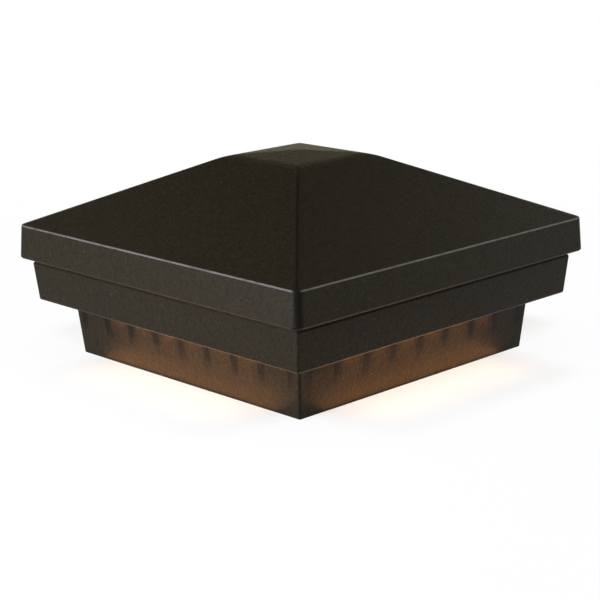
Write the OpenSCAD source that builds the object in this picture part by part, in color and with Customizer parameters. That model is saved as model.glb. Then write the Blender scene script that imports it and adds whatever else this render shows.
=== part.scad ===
// Deck post cap light: a hipped cast roof over a stepped cast base whose collar slips
// over a square post. Six LEDs on each side shine down from a channel under the band.
// Origin at the centre of the collar's mouth, +Z up, sizes in millimetres.

/* [Post] */
// Width of the square post that the collar slips over
post_w = 139.7; // [120:0.1:160]
// Slip clearance between the post and the collar, per side
post_clearance = 0.75; // [0.3:0.05:2]
// Distance between the screws that hold the deck on the post, both ways
post_screw_pitch = 100; // [88:1:106]
// Diameter of the post screw holes
post_screw_d = 5.2; // [4:0.1:7]

/* [Collar] */
// Height of the collar, which is also the depth of the post socket
collar_h = 26.1; // [20:0.1:34]
// Wall of the collar at its mouth
collar_wall = 2.5; // [2:0.1:4]
// Draft of the collar and band faces in degrees
draft = 5.35; // [2:0.05:6]
// Thickness of the deck that stands on the post
deck_t = 2.5; // [2:0.1:4]

/* [Band] */
// Height of the band above the collar
band_h = 20.5; // [16:0.1:26]
// Wall of the lip that hides the light channel
lip_wall = 2.5; // [2:0.1:3.5]
// Width of the light channel at its mouth
channel_w = 9.4; // [9:0.1:13]
// Depth of the light channel
channel_depth = 8; // [7:0.1:9.5]
// Thickness of the shelf above the light channel
shelf_t = 2.5; // [2:0.1:3.5]
// Corner radius of the collar and the band
body_corner_r = 1; // [0.8:0.1:3]

/* [Rim] */
// Wall of the rim inside the fascia
rim_t = 2.5; // [2:0.1:3.2]
// Setback of the rim behind the band's face
rim_setback = 0.8; // [0.4:0.1:1.5]
// Height of the band's face that the fascia hides
seam_lap = 1; // [0.5:0.1:2]
// Thickness of the foam gasket on the rim
gasket_t = 1.2; // [0.6:0.1:2]

/* [Roof] */
// Height of the fascia
fascia_h = 15.9; // [13:0.1:20]
// Overhang of the fascia beyond the band
fascia_overhang = 4.6; // [4.3:0.1:8]
// Lean of the fascia towards its top, per side
fascia_lean = 0.7; // [0:0.1:1.5]
// Wall of the fascia
fascia_wall = 2.7; // [2:0.1:3]
// Wall of the roof slopes
roof_wall = 2.8; // [2:0.1:3.5]
// Thickness of the shoulder that rests on the gasket
shoulder_t = 3.3; // [2.6:0.1:4.5]
// Height of the roof slopes from the eaves to the plateau
roof_rise = 31.5; // [24:0.5:40]
// Width of the plateau that carries the low peak
plateau_w = 47.6; // [36:0.1:60]
// Rise of the low peak over the plateau's edge
peak_rise = 2.3; // [1:0.1:4]
// Corner radius of the fascia
fascia_corner_r = 4; // [2:0.1:6]
// Rounding of the hips where they reach the plateau
hip_r = 1.6; // [0.6:0.1:3]
// Height of the stiffening ribs inside the roof
roof_rib_h = 3; // [1.5:0.1:5]
// Thickness of the stiffening ribs inside the roof
roof_rib_t = 1.8; // [1.2:0.1:3]

/* [Edges] */
// Rounding of the fascia's lower edge
fascia_foot_r = 1.2; // [0.4:0.1:1.6]
// Rounding of the eaves
eave_r = 1.3; // [0.5:0.1:2.5]
// Rounding of the band's lower edge
band_foot_r = 1.3; // [0.4:0.1:1.6]
// Rounding of the collar's lower edge
collar_foot_r = 0.8; // [0.3:0.1:1.5]
// Radius that blends the slopes into the plateau
plateau_blend_r = 26; // [10:1:40]

/* [Light] */
// Number of LEDs on each side
led_count = 6; // [4:1:6]
// Pitch of the LEDs along each side
led_pitch = 17.3; // [14:0.1:18.5]
// Length of an LED package
led_l = 3.5; // [2.8:0.1:5]
// Width of an LED package
led_w = 2.8; // [2:0.1:3.5]
// Height of an LED package
led_h = 0.8; // [0.6:0.1:1.2]
// Thickness of an LED board
board_t = 1; // [0.8:0.1:1.6]
// Clearance between an LED board and the channel walls, per side
board_clearance = 0.6; // [0.3:0.1:0.9]
// Clearance between a lens and the channel walls, per side
lens_clearance = 0.2; // [0.1:0.05:0.5]
// Thickness of a lens strip
lens_t = 1.6; // [1.4:0.1:2]
// Height of the lens strips above the channel's mouth
lens_recess = 2; // [1:0.1:2.6]
// Length of a lens's end foot
lens_foot_l = 8; // [6.5:0.1:9]
// Gap between a lens's foot and the LED board
lens_foot_gap = 1; // [0.5:0.1:1.5]

/* [Lead entry] */
// Bore of the rubber grommet, which takes a 5 mm lead
grommet_bore_d = 5.4; // [4:0.1:7]
// Diameter of the deck hole that the grommet sits in
grommet_hole_d = 10; // [9:0.1:12]
// Width of the grommet's flanges beyond the hole, per side
grommet_flange = 2; // [1.2:0.1:3]
// Thickness of each grommet flange
grommet_flange_t = 1.6; // [1:0.1:2]
// Height of the boss round the grommet, above the deck
grommet_boss_h = 3.5; // [2.5:0.1:5]

/* [Driver] */
// Length of the driver's circuit board
driver_l = 64; // [58:1:70]
// Width of the driver's circuit board
driver_w = 40; // [36:1:44]
// Thickness of the driver's circuit board
driver_t = 1.6; // [1:0.1:2]
// Distance from the post's centre line to the board's near edge
driver_y = 13; // [12:0.5:16]
// Height of the standoffs under the board
standoff_h = 5; // [3:0.5:8]
// Diameter of the standoffs
standoff_d = 6.4; // [5.5:0.1:7]
// Inset of the board's screws from its edges
driver_screw_inset = 4; // [3.5:0.1:5]

/* [Clips] */
// Width of a leaf spring clip
clip_w = 12; // [9:0.5:16]
// Thickness of the spring steel
clip_t = 0.5; // [0.4:0.05:0.8]
// Gap between a clip's nose and the rim, closed by the spring's preload
clip_gap = 0.25; // [0.1:0.05:0.5]
// Reach of a clip's nose from its leg
clip_nose = 1.6; // [1:0.1:2]
// Length of a clip's leg
clip_leg = 11; // [9:0.5:14]
// Height of the clip bosses over the shoulder
clip_boss_lift = 1.3; // [0.8:0.1:2]

/* [Screws] */
// Thread diameter of the small screws
small_screw_d = 2.5; // [2:0.1:3]
// Thread diameter of the clip and driver screws
screw_d = 3; // [2.5:0.1:3.5]
// Clearance of each thread in its hole, per side
thread_clearance = 0.05; // [0.02:0.01:0.1]
// Clearance round a screw in the piece that it clamps, per side
through_clearance = 0.2; // [0.1:0.05:0.3]

/* [Hidden] */
$fn = 48;

EPS = 0.01;
CUT = 1; // how far a cutter runs past the face it opens

// Each side is the front side, turned by 90 degrees more
SIDES = ["front", "right", "back", "left"];
function side_angle(side) = 90 * search([side], SIDES)[0];

corner_steps = 4; // facets in each rounded corner
edge_steps = 4; // facets in each rounded edge

// Base, half widths and levels
draft_slope = tan(draft);
socket_half = post_w / 2 + post_clearance;
socket_corner_r = 1.5;
collar_half = socket_half + collar_wall;
function collar_half_at(z) = collar_half + z * draft_slope;
deck_z = collar_h;
deck_top_z = deck_z + deck_t;
channel_top_z = collar_h + channel_depth;
shelf_top_z = channel_top_z + shelf_t;
collar_top_half = collar_half_at(collar_h);
lip_in_half = collar_top_half + channel_w;
band_half = lip_in_half + lip_wall;
function band_half_at(z) = band_half + (z - collar_h) * draft_slope;
lip_edge = 0.4; // bevel inside the lip
well_half = collar_top_half - collar_wall;
inner_corner_r = 2;
seam_z = collar_h + band_h;
rim_out_half = band_half_at(seam_z) - rim_setback;
rim_in_half = rim_out_half - rim_t;

// Roof, half widths and levels
eave_z = seam_z + fascia_h;
plateau_z = eave_z + roof_rise;
plateau_half = plateau_w / 2;
fascia_half = band_half_at(seam_z) + fascia_overhang;
eave_half = fascia_half - fascia_lean;
fascia_in_half = fascia_half - fascia_wall;
shoulder_z = eave_z - shoulder_t;
rim_z = shoulder_z - gasket_t;
pitch = atan(roof_rise / (eave_half - plateau_half));
peak_pitch = atan(peak_rise / plateau_half);
roof_wall_drop = roof_wall / cos(pitch);
cavity_half = rim_in_half - 0.6; // the shoulder reaches this far inside the rim
function slope_z(half) = eave_z + (eave_half - half) * tan(pitch);
function slope_half(z) = eave_half - (z - eave_z) / tan(pitch);
function ceiling_z(half) = slope_z(half) - roof_wall_drop;
cavity_top_z = plateau_z - roof_wall;

// Light channel
channel_top_in = collar_half_at(channel_top_z);
channel_top_w = lip_in_half - channel_top_in;
channel_line = (lip_in_half + channel_top_in) / 2;
board_l = led_count * led_pitch;
board_w = channel_top_w - 2 * board_clearance;
board_z = channel_top_z - board_t;
board_screw_x = floor(led_count / 2 - 0.5) * led_pitch;
lens_z = collar_h + lens_recess;
lens_w = channel_top_w - 2 * lens_clearance;
lens_screw_x = board_l / 2 + lens_foot_gap + lens_foot_l / 2;
lens_half_l = lens_screw_x + lens_foot_l / 2;
dish_d = led_w - 0.6;
dish_depth = 0.3;

// Small screws hold the boards and lenses, and stop inside the shelf
small_head_d = small_screw_d * 1.8;
small_head_h = 1.2;
screw_tip_inset = 0.3; // how far a screw's tip stays below the face above it
counterbore_gap = 0.3;
lens_counterbore = small_head_h + counterbore_gap;

// Screws of the driver and the clips
head_d = screw_d * 1.8;
head_h = 1.8;
screw_len = 6;

// Grommet
grommet_boss_z = deck_top_z + grommet_boss_h;
grommet_flange_d = grommet_hole_d + 2 * grommet_flange;
grommet_boss_d = grommet_flange_d + 4;
grommet_neck_gap = 0.1;
grommet_sink = 0.2; // the lower flange stays this far inside its counterbore

// Driver
driver_z = deck_top_z + standoff_h;
driver_top_z = driver_z + driver_t;
driver_cy = driver_y + driver_w / 2;
function driver_corners() = [for (sx = [-1, 1], sy = [-1, 1])
    [sx * (driver_l / 2 - driver_screw_inset), driver_cy + sy * (driver_w / 2 - driver_screw_inset)]];
socket_l = 6;
socket_w = 7.4;
socket_h = 5;
socket_rows = [-9, 9]; // places of the output sockets along each end of the board

// Clips
clip_boss_z = shoulder_z + clip_boss_lift;
clip_boss_d = head_d + 1.6;
clip_leg_half = rim_in_half - clip_gap - clip_nose;
clip_screw_half = clip_leg_half - clip_t - clip_boss_d / 2 - 0.4;
clip_tab = clip_leg_half - clip_screw_half + clip_boss_d / 2;

// Inner leads: their routes run from the driver's sockets to the ends of the LED boards
lead_d = 1.8;
lead_sides = 8;
lead_ring_gap = 4.5;
lead_hole_d = 3;
lead_hole_x = board_l / 2 - 3.5;
lead_straight = 5; // the first stretch, square to its socket

// ---------------------------------------------------------------- shapes

// One square ring with round corners, counter-clockwise seen from above
function ring(half, z, r) = [for (q = [0:3], k = [0:corner_steps])
    let (a = 90 * (q + k / corner_steps),
        cx = (q == 0 || q == 3) ? half - r : r - half,
        cy = (q < 2) ? half - r : r - half)
    [cx + r * cos(a), cy + r * sin(a), z]];

// A closed solid through square rings, each given as [half width, height, corner radius]
module loft(profile) {
    n = 4 * (corner_steps + 1);
    last = len(profile) - 1;
    polyhedron(
        points = [for (p = profile) each ring(p[0], p[1], p[2])],
        faces = concat(
            [[for (i = [0:n - 1]) i]],
            [for (j = [0:last - 1], i = [0:n - 1])
                [j * n + i, (j + 1) * n + i, (j + 1) * n + (i + 1) % n, j * n + (i + 1) % n]],
            [[for (i = [n - 1:-1:0]) last * n + i]]),
        convexity = 6);
}

// Rings of a rounded lower edge, from its flat foot up to the upright face
function foot_rings(half, z, r, corner_r) = [for (k = [0:edge_steps])
    let (a = 90 * k / edge_steps)
    [half - r + r * sin(a), z + r * (1 - cos(a)), max(0.3, corner_r - r + r * sin(a))]];

module rounded_square(half, r) {
    square([2 * half, 2 * (half - r)], center = true);
    square([2 * (half - r), 2 * half], center = true);
    for (sx = [-1, 1], sy = [-1, 1])
        translate([sx * (half - r), sy * (half - r)]) circle(r = r);
}

module square_prism(half, r, z0, z1) {
    translate([0, 0, z0]) linear_extrude(z1 - z0) rounded_square(half, r);
}

module at_side(side) {
    rotate([0, 0, side_angle(side)]) children();
}

// A pan head screw that points up, with the underside of its head at z = 0
module screw(d, len, head, height) {
    cylinder(d = d, h = len);
    difference() {
        translate([0, 0, -height]) union() {
            translate([0, 0, height * 0.4]) cylinder(d = head, h = height * 0.6);
            cylinder(d1 = head * 0.72, d2 = head, h = height * 0.4);
        }
        for (turn = [0, 90])
            rotate([0, 0, turn]) translate([-head * 0.28, -d * 0.13, -height - EPS])
                cube([head * 0.56, d * 0.26, height * 0.55]);
    }
}

// ---------------------------------------------------------------- base

function base_profile() = concat(
    foot_rings(collar_half_at(collar_foot_r), 0, collar_foot_r, body_corner_r),
    [[channel_top_in, channel_top_z, body_corner_r],
        [lip_in_half, channel_top_z, body_corner_r],
        [lip_in_half, collar_h + lip_edge, body_corner_r],
        [lip_in_half + lip_edge, collar_h, body_corner_r]],
    foot_rings(band_half_at(collar_h + band_foot_r), collar_h, band_foot_r, body_corner_r),
    [[band_half_at(seam_z + seam_lap), seam_z + seam_lap, body_corner_r],
        [rim_out_half, seam_z + seam_lap, body_corner_r],
        [rim_out_half, rim_z, body_corner_r]]);

module standoffs() {
    for (p = driver_corners())
        translate([p[0], p[1], deck_z + EPS]) cylinder(d = standoff_d, h = driver_z - deck_z - EPS);
}

module grommet_boss() {
    translate([0, 0, deck_z + EPS]) cylinder(d = grommet_boss_d, h = grommet_boss_z - deck_z - EPS);
}

module shelf_holes() {
    for (side = SIDES)
        at_side(side) {
            for (x = [-1, 1]) {
                translate([x * board_screw_x, -channel_line, channel_top_z - CUT])
                    cylinder(d = small_screw_d + 2 * thread_clearance, h = shelf_t + 2 * CUT);
                translate([x * lens_screw_x, -channel_line, channel_top_z - CUT])
                    cylinder(d = small_screw_d + 2 * thread_clearance, h = shelf_t + 2 * CUT);
            }
            translate([-lead_hole_x, -channel_line, channel_top_z - CUT])
                cylinder(d = lead_hole_d, h = shelf_t + 2 * CUT);
        }
}

module base_casting() {
    color("#2b2926") difference() {
        loft(base_profile());
        square_prism(socket_half, socket_corner_r, -CUT, deck_z);
        difference() {
            union() {
                square_prism(well_half, inner_corner_r, deck_top_z, shelf_top_z + CUT);
                square_prism(rim_in_half, inner_corner_r, shelf_top_z, rim_z + CUT);
            }
            standoffs();
            grommet_boss();
        }
        for (sx = [-1, 1], sy = [-1, 1])
            translate([sx * post_screw_pitch / 2, sy * post_screw_pitch / 2, deck_z - CUT])
                cylinder(d = post_screw_d, h = deck_t + 2 * CUT);
        translate([0, 0, deck_z - CUT])
            cylinder(d = grommet_hole_d, h = deck_t + grommet_boss_h + 2 * CUT);
        translate([0, 0, deck_z - CUT])
            cylinder(d = grommet_flange_d + 2 * grommet_neck_gap, h = CUT + grommet_flange_t + grommet_sink);
        for (p = driver_corners())
            translate([p[0], p[1], deck_top_z + EPS])
                cylinder(d = screw_d + 2 * thread_clearance, h = standoff_h + CUT);
        shelf_holes();
    }
}

module rim_gasket() {
    color("#1a1a1a") difference() {
        square_prism(rim_out_half - 0.2, body_corner_r, rim_z, shoulder_z);
        square_prism(rim_in_half + 0.2, inner_corner_r, rim_z - CUT, shoulder_z + CUT);
    }
}

module cable_grommet() {
    z0 = deck_z + grommet_sink;
    z1 = z0 + grommet_flange_t;
    z2 = grommet_boss_z;
    z3 = z2 + grommet_flange_t;
    bore = grommet_bore_d / 2;
    neck = grommet_hole_d / 2 - grommet_neck_gap;
    flange = grommet_flange_d / 2;
    color("#151515") rotate_extrude()
        polygon([[bore, z0], [flange, z0], [flange, z1], [neck, z1], [neck, z2], [flange, z2],
            [flange, z3 - 0.5], [flange - 0.5, z3], [bore, z3]]);
}

// ---------------------------------------------------------------- roof

// Rounded eave between the fascia and the slope
function eave_rings() = let (t = eave_r / tan((90 + pitch) / 2))
    [for (k = [0:edge_steps])
        let (a = (90 - pitch) * k / edge_steps, inset = eave_r * (1 - cos(a)))
        [eave_half - inset, eave_z - t + eave_r * sin(a), fascia_corner_r - inset]];

// Soft blend between the slope and the low peak
function plateau_rings() = let (t = plateau_blend_r * tan((pitch - peak_pitch) / 2),
        x0 = plateau_half + t * cos(pitch) - plateau_blend_r * sin(pitch),
        z0 = plateau_z - t * sin(pitch) - plateau_blend_r * cos(pitch))
    [for (k = [0:edge_steps])
        let (a = pitch + (peak_pitch - pitch) * k / edge_steps)
        [x0 + plateau_blend_r * sin(a), z0 + plateau_blend_r * cos(a), hip_r]];

function roof_profile() = concat(
    foot_rings(fascia_half, seam_z, fascia_foot_r, fascia_corner_r),
    eave_rings(),
    plateau_rings(),
    [[hip_r, plateau_z + peak_rise - hip_r * tan(peak_pitch), hip_r - EPS],
        [hip_r / 3, plateau_z + peak_rise - hip_r * tan(peak_pitch) / 2, hip_r / 3 - EPS]]);

// The hollow under the slopes, lowered by drop
module slope_hollow(drop) {
    translate([0, 0, -drop])
        loft([[cavity_half, shoulder_z - CUT, inner_corner_r],
            [cavity_half, ceiling_z(cavity_half), inner_corner_r],
            [slope_half(cavity_top_z + roof_wall_drop), cavity_top_z, inner_corner_r]]);
}

module roof_ribs() {
    long = 2 * fascia_half;
    for (turn = [0, 45, 90, 135])
        rotate([0, 0, turn]) translate([-long / 2, -roof_rib_t / 2, shoulder_z])
            cube([long, roof_rib_t, plateau_z - shoulder_z]);
}

module clip_bosses() {
    for (side = SIDES)
        at_side(side) translate([0, -clip_screw_half, clip_boss_z])
            cylinder(d = clip_boss_d, h = plateau_z - clip_boss_z);
}

module roof_casting() {
    color("#26241f") difference() {
        loft(roof_profile());
        square_prism(fascia_in_half, inner_corner_r, seam_z - CUT, shoulder_z);
        difference() {
            union() {
                difference() {
                    slope_hollow(0);
                    roof_ribs();
                }
                slope_hollow(roof_rib_h);
            }
            clip_bosses();
        }
        for (side = SIDES)
            at_side(side) translate([0, -clip_screw_half, clip_boss_z - CUT])
                cylinder(d = screw_d + 2 * thread_clearance, h = CUT + screw_len - clip_t);
    }
}

// ---------------------------------------------------------------- light

module led_board(side) {
    color("#e8e6dc") at_side(side) translate([0, -channel_line, board_z])
        difference() {
            translate([-board_l / 2, -board_w / 2, 0]) cube([board_l, board_w, board_t]);
            for (x = [-1, 1])
                translate([x * board_screw_x, 0, -CUT])
                    cylinder(d = small_screw_d + 2 * through_clearance, h = board_t + 2 * CUT);
        }
}

module leds(side) {
    color("#f4d78a") at_side(side)
        for (i = [0:led_count - 1])
            translate([(i - (led_count - 1) / 2) * led_pitch, -channel_line, board_z - led_h])
                difference() {
                    translate([-led_l / 2, -led_w / 2, 0]) cube([led_l, led_w, led_h]);
                    translate([0, 0, -EPS]) cylinder(d1 = dish_d, d2 = dish_d - 0.6, h = dish_depth);
                }
}

module lens(side) {
    color([0.85, 0.9, 0.92, 0.5]) at_side(side) translate([0, -channel_line, 0])
        difference() {
            union() {
                translate([-lens_half_l, -lens_w / 2, lens_z]) cube([2 * lens_half_l, lens_w, lens_t]);
                for (x = [-1, 1])
                    translate([x * lens_screw_x - lens_foot_l / 2, -lens_w / 2, lens_z])
                        cube([lens_foot_l, lens_w, channel_top_z - lens_z]);
            }
            for (x = [-1, 1])
                translate([x * lens_screw_x, 0, lens_z - CUT]) {
                    cylinder(d = small_screw_d + 2 * through_clearance, h = channel_depth + 2 * CUT);
                    cylinder(d = small_head_d + 2 * counterbore_gap, h = CUT + lens_counterbore);
                }
        }
}

module board_screws() {
    color("#c9ccd0") for (side = SIDES, x = [-1, 1])
        at_side(side) translate([x * board_screw_x, -channel_line, board_z])
            screw(small_screw_d, board_t + shelf_t - screw_tip_inset, small_head_d, small_head_h);
}

module lens_screws() {
    seat_z = lens_z + lens_counterbore;
    color("#c9ccd0") for (side = SIDES, x = [-1, 1])
        at_side(side) translate([x * lens_screw_x, -channel_line, seat_z])
            screw(small_screw_d, shelf_top_z - seat_z - screw_tip_inset, small_head_d, small_head_h);
}

// ---------------------------------------------------------------- driver

module driver_board() {
    color("#1f5a38") difference() {
        translate([-driver_l / 2, driver_y, driver_z]) cube([driver_l, driver_w, driver_t]);
        for (p = driver_corners())
            translate([p[0], p[1], driver_z - CUT])
                cylinder(d = screw_d + 2 * through_clearance, h = driver_t + 2 * CUT);
    }
}

module driver_screws() {
    color("#c9ccd0") for (p = driver_corners())
        translate([p[0], p[1], driver_top_z]) rotate([180, 0, 0])
            screw(screw_d, driver_t + standoff_h - screw_tip_inset, head_d, head_h);
}

// Two poles, wires enter from the near edge and screws from above
terminal_pitch = 5.08;
terminal_w = 2 * terminal_pitch;
terminal_l = 8;
terminal_h = 10;
terminal_well_d = 4;
terminal_well_depth = 4.5;

module terminal_block() {
    color("#2f6b3f") translate([-terminal_w / 2, driver_y + 1, driver_top_z])
        difference() {
            rotate([90, 0, 90]) linear_extrude(terminal_w)
                polygon([[0, 0], [terminal_l, 0], [terminal_l, terminal_h], [2.4, terminal_h],
                    [1.2, terminal_h * 0.62], [0, terminal_h * 0.62]]);
            for (i = [0, 1])
                translate([(i + 0.5) * terminal_pitch, 0, 0]) {
                    translate([-1.5, -CUT, 1.4]) cube([3, CUT + 4, 3.6]);
                    translate([0, 5, terminal_h - terminal_well_depth])
                        cylinder(d = terminal_well_d, h = terminal_well_depth + CUT);
                }
        }
}

module terminal_screws() {
    color("#c9ccd0") for (i = [-0.5, 0.5])
        translate([i * terminal_pitch, driver_y + 6, driver_top_z + terminal_h - terminal_well_depth])
            difference() {
                cylinder(d = terminal_well_d - 0.4, h = 2);
                translate([-2, -0.3, 1.2]) cube([4, 0.6, 1]);
            }
}

module bridge_rectifier() {
    color("#202020") translate([6 + socket_l - driver_l / 2, driver_cy + socket_rows[0], driver_top_z]) {
        translate([-4, -3.2, 0.6]) cube([8, 6.4, 2.8]);
        for (sx = [-1, 1], sy = [-1, 1])
            translate([sx * 2.5 - 0.6, sy * 3.6 - 0.6, 0]) cube([1.2, 1.2, 1.6]);
    }
}

module power_inductor() {
    color("#4a4a4c") translate([driver_l / 4, driver_cy + 2, driver_top_z]) rotate_extrude()
        polygon([[0, 0], [6, 0], [6, 1.2], [5.4, 1.6], [5.4, 5.4], [6, 5.8], [6, 7], [0, 7]]);
}

module capacitors() {
    color("#30343c") for (x = [-13, -3])
        translate([x, driver_cy + 6, driver_top_z]) rotate_extrude()
            polygon([[0, 0], [3.8, 0], [4, 0.4], [4, 1.4], [3.7, 1.8], [4, 2.2],
                [4, 10.6], [3.6, 11], [0, 11]]);
}

module regulator_chip() {
    color("#1c1c1e") translate([4, driver_cy - 3, driver_top_z]) {
        translate([-2.5, -2, 0.2]) cube([5, 4, 1.4]);
        for (i = [-1.5:1:1.5], sy = [-1, 1])
            translate([i * 1.27 - 0.2, sy * 2.5 - 0.6, 0]) cube([0.4, 1.2, 0.7]);
    }
}

module output_sockets() {
    color("#e4e0d2") for (sx = [-1, 1], dy = socket_rows)
        translate([sx * (driver_l / 2 - socket_l / 2), driver_cy + dy, driver_top_z])
            difference() {
                translate([-socket_l / 2, -socket_w / 2, 0]) cube([socket_l, socket_w, socket_h]);
                translate([sx * (socket_l / 2 - 2), 0, socket_h / 2])
                    cube([1.6, socket_w - 2, socket_h + CUT], center = true);
            }
}

// ---------------------------------------------------------------- inner leads

// Turns a point of the front side into another side's place
function turned(p, side) = let (a = side_angle(side))
    [p[0] * cos(a) - p[1] * sin(a), p[0] * sin(a) + p[1] * cos(a), p[2]];

// A route starts square to its socket and drops straight through its shelf hole on the LED board
socket_mid_z = driver_top_z + socket_h / 2;
function lead_route(end, row, middle, side) =
    let (start = [end * driver_l / 2, driver_cy + row, socket_mid_z],
        foot = turned([-lead_hole_x, -channel_line, channel_top_z], side))
    concat([start, start + [end * lead_straight, 0, 0]], middle, [foot + [0, 0, shelf_t], foot]);

// Points between, set out from the board's end, the well's wall, the deck, the shelf and the hole
board_end = driver_l / 2;
lead_left_middle = [
    [-board_end - 14, driver_cy + 6, socket_mid_z + 0.3],
    [15 - well_half, driver_cy + 7, socket_mid_z + 0.9],
    [5 - well_half, lead_hole_x - 3.4, shelf_top_z + 3.8],
    [-2 - well_half, lead_hole_x - 0.4, shelf_top_z + 5.8],
    [1.2 - channel_line, lead_hole_x, shelf_top_z + 4]];
lead_front_middle = [
    [-board_end - 16, driver_cy - 10.4, socket_mid_z - 1.7],
    [15 - well_half, driver_cy - 16, deck_top_z + 3.8],
    [9 - well_half, driver_cy - 27, deck_top_z + 2.4],
    [7 - well_half, 59 - well_half, deck_top_z + 1.8],
    [8.5 - well_half, 37 - well_half, deck_top_z + 1.8],
    [12 - well_half, 21 - well_half, deck_top_z + 3.4],
    [-lead_hole_x - 7.6, 9 - well_half, shelf_top_z - 0.2],
    [-lead_hole_x - 2.4, -0.6 - well_half, shelf_top_z + 5],
    [-lead_hole_x - 0.2, 1.6 - channel_line, shelf_top_z + 4.2]];
lead_back_middle = [
    [board_end + 8, driver_cy + 13.5, socket_mid_z + 0.1],
    [lead_hole_x - 8, driver_cy + 23, socket_mid_z + 0.7],
    [lead_hole_x - 5.4, well_half - 7, shelf_top_z + 3.6],
    [lead_hole_x - 1.6, well_half + 1.4, shelf_top_z + 5.8],
    [lead_hole_x - 0.2, channel_line - 1.4, shelf_top_z + 4.2]];
lead_right_middle = [
    [board_end + 16, driver_cy - 10.4, socket_mid_z - 1.7],
    [well_half - 15, driver_cy - 16, deck_top_z + 3.8],
    [well_half - 9, driver_cy - 27, deck_top_z + 2.4],
    [well_half - 7, 61 - well_half, deck_top_z + 1.8],
    [well_half - 7, 20.4 - lead_hole_x, deck_top_z + 3.4],
    [well_half - 4, 8.4 - lead_hole_x, shelf_top_z + 0.4],
    [well_half + 1.4, 2 - lead_hole_x, shelf_top_z + 5.4],
    [channel_line - 1.6, 0.2 - lead_hole_x, shelf_top_z + 4.2]];

// Catmull-Rom point between b and c at t from 0 to 1
function spline_at(a, b, c, d, t) = 0.5 * (2 * b + (c - a) * t
    + (2 * a - 5 * b + 4 * c - d) * t * t + (3 * b - a - 3 * c + d) * t * t * t);
function spline(points) = let (n = len(points) - 1)
    concat([for (i = [0:n - 1])
        let (a = i > 0 ? points[i - 1] : 2 * points[0] - points[1],
            d = i < n - 1 ? points[i + 2] : 2 * points[n] - points[n - 1],
            steps = max(1, round(norm(points[i + 1] - points[i]) / lead_ring_gap)))
        for (k = [0:steps - 1]) spline_at(a, points[i], points[i + 1], d, k / steps)],
        [points[n]]);

function unit(v) = v / norm(v);
function tangent(path, i) = unit(path[min(i + 1, len(path) - 1)] - path[max(i - 1, 0)]);

// Normals carried along the path without twist
function carried(path, i, normal) = let (t = tangent(path, i), flat = unit(normal - (normal * t) * t))
    i == len(path) - 1 ? [flat] : concat([flat], carried(path, i + 1, flat));

module tube(path, d, sides) {
    normals = carried(path, 0, [0.1, 0.2, 1]);
    last = len(path) - 1;
    polyhedron(
        points = [for (i = [0:last], k = [0:sides - 1])
            let (a = 360 * k / sides, n = normals[i], b = cross(tangent(path, i), n))
            path[i] + d / 2 * (cos(a) * n + sin(a) * b)],
        faces = concat(
            [[for (k = [0:sides - 1]) k]],
            [for (i = [0:last - 1], k = [0:sides - 1])
                [i * sides + k, (i + 1) * sides + k,
                    (i + 1) * sides + (k + 1) % sides, i * sides + (k + 1) % sides]],
            [[for (k = [sides - 1:-1:0]) last * sides + k]]),
        convexity = 10);
}

module lead(end, row, middle, side) {
    color("#8c1c1a") tube(spline(lead_route(end, row, middle, side)), lead_d, lead_sides);
}

// ---------------------------------------------------------------- roof clips

// Leaf spring outline, from its tab under the boss down to its turned-in toe
function clip_path() = [[-clip_tab, 0], [-0.6, 0], [-0.18, -0.18], [0, -0.6],
    [0, -clip_leg * 0.5], [clip_nose, -clip_leg * 0.74], [clip_nose, -clip_leg * 0.8], [-0.6, -clip_leg]];
function left_of(v) = [-v[1], v[0]];
function miter(path, i, width) = let (n = len(path) - 1,
        u = left_of(unit(path[max(i, 1)] - path[max(i, 1) - 1])),
        v = left_of(unit(path[min(i + 1, n)] - path[min(i + 1, n) - 1])))
    path[i] + (u + v) * width / (1 + u * v);

module roof_clip(side) {
    path = clip_path();
    last = len(path) - 1;
    outline = concat(path, [for (i = [last:-1:0]) miter(path, i, -clip_t)]);
    color("#b9bcc0") at_side(side) difference() {
        translate([clip_w / 2, -clip_leg_half, clip_boss_z])
            rotate([90, 0, -90]) linear_extrude(clip_w) polygon(outline);
        translate([0, -clip_screw_half, clip_boss_z - 2 * clip_t])
            cylinder(d = screw_d + 2 * through_clearance, h = 3 * clip_t);
    }
}

module clip_screws() {
    color("#c9ccd0") for (side = SIDES)
        at_side(side) translate([0, -clip_screw_half, clip_boss_z - clip_t])
            screw(screw_d, screw_len - screw_tip_inset, head_d, head_h);
}

base_casting();
roof_casting();
rim_gasket();
cable_grommet();
led_board("front");  // led_board_front
led_board("right");  // led_board_right
led_board("back");  // led_board_back
led_board("left");  // led_board_left
leds("front");  // leds_front
leds("right");  // leds_right
leds("back");  // leds_back
leds("left");  // leds_left
lens("front");  // lens_front
lens("right");  // lens_right
lens("back");  // lens_back
lens("left");  // lens_left
board_screws();
lens_screws();
driver_board();
terminal_block();
terminal_screws();
bridge_rectifier();
power_inductor();
capacitors();
regulator_chip();
output_sockets();
driver_screws();
lead(-1, socket_rows[0], lead_front_middle, "front");  // lead_front
lead(1, socket_rows[0], lead_right_middle, "right");  // lead_right
lead(1, socket_rows[1], lead_back_middle, "back");  // lead_back
lead(-1, socket_rows[1], lead_left_middle, "left");  // lead_left
roof_clip("front");  // roof_clip_front
roof_clip("right");  // roof_clip_right
roof_clip("back");  // roof_clip_back
roof_clip("left");  // roof_clip_left
clip_screws();
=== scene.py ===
import logging
import math
from collections.abc import Callable, Iterable, Sequence
from dataclasses import dataclass, field
from enum import Enum

import bmesh
import bpy
from mathutils import Matrix, Vector


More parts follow.
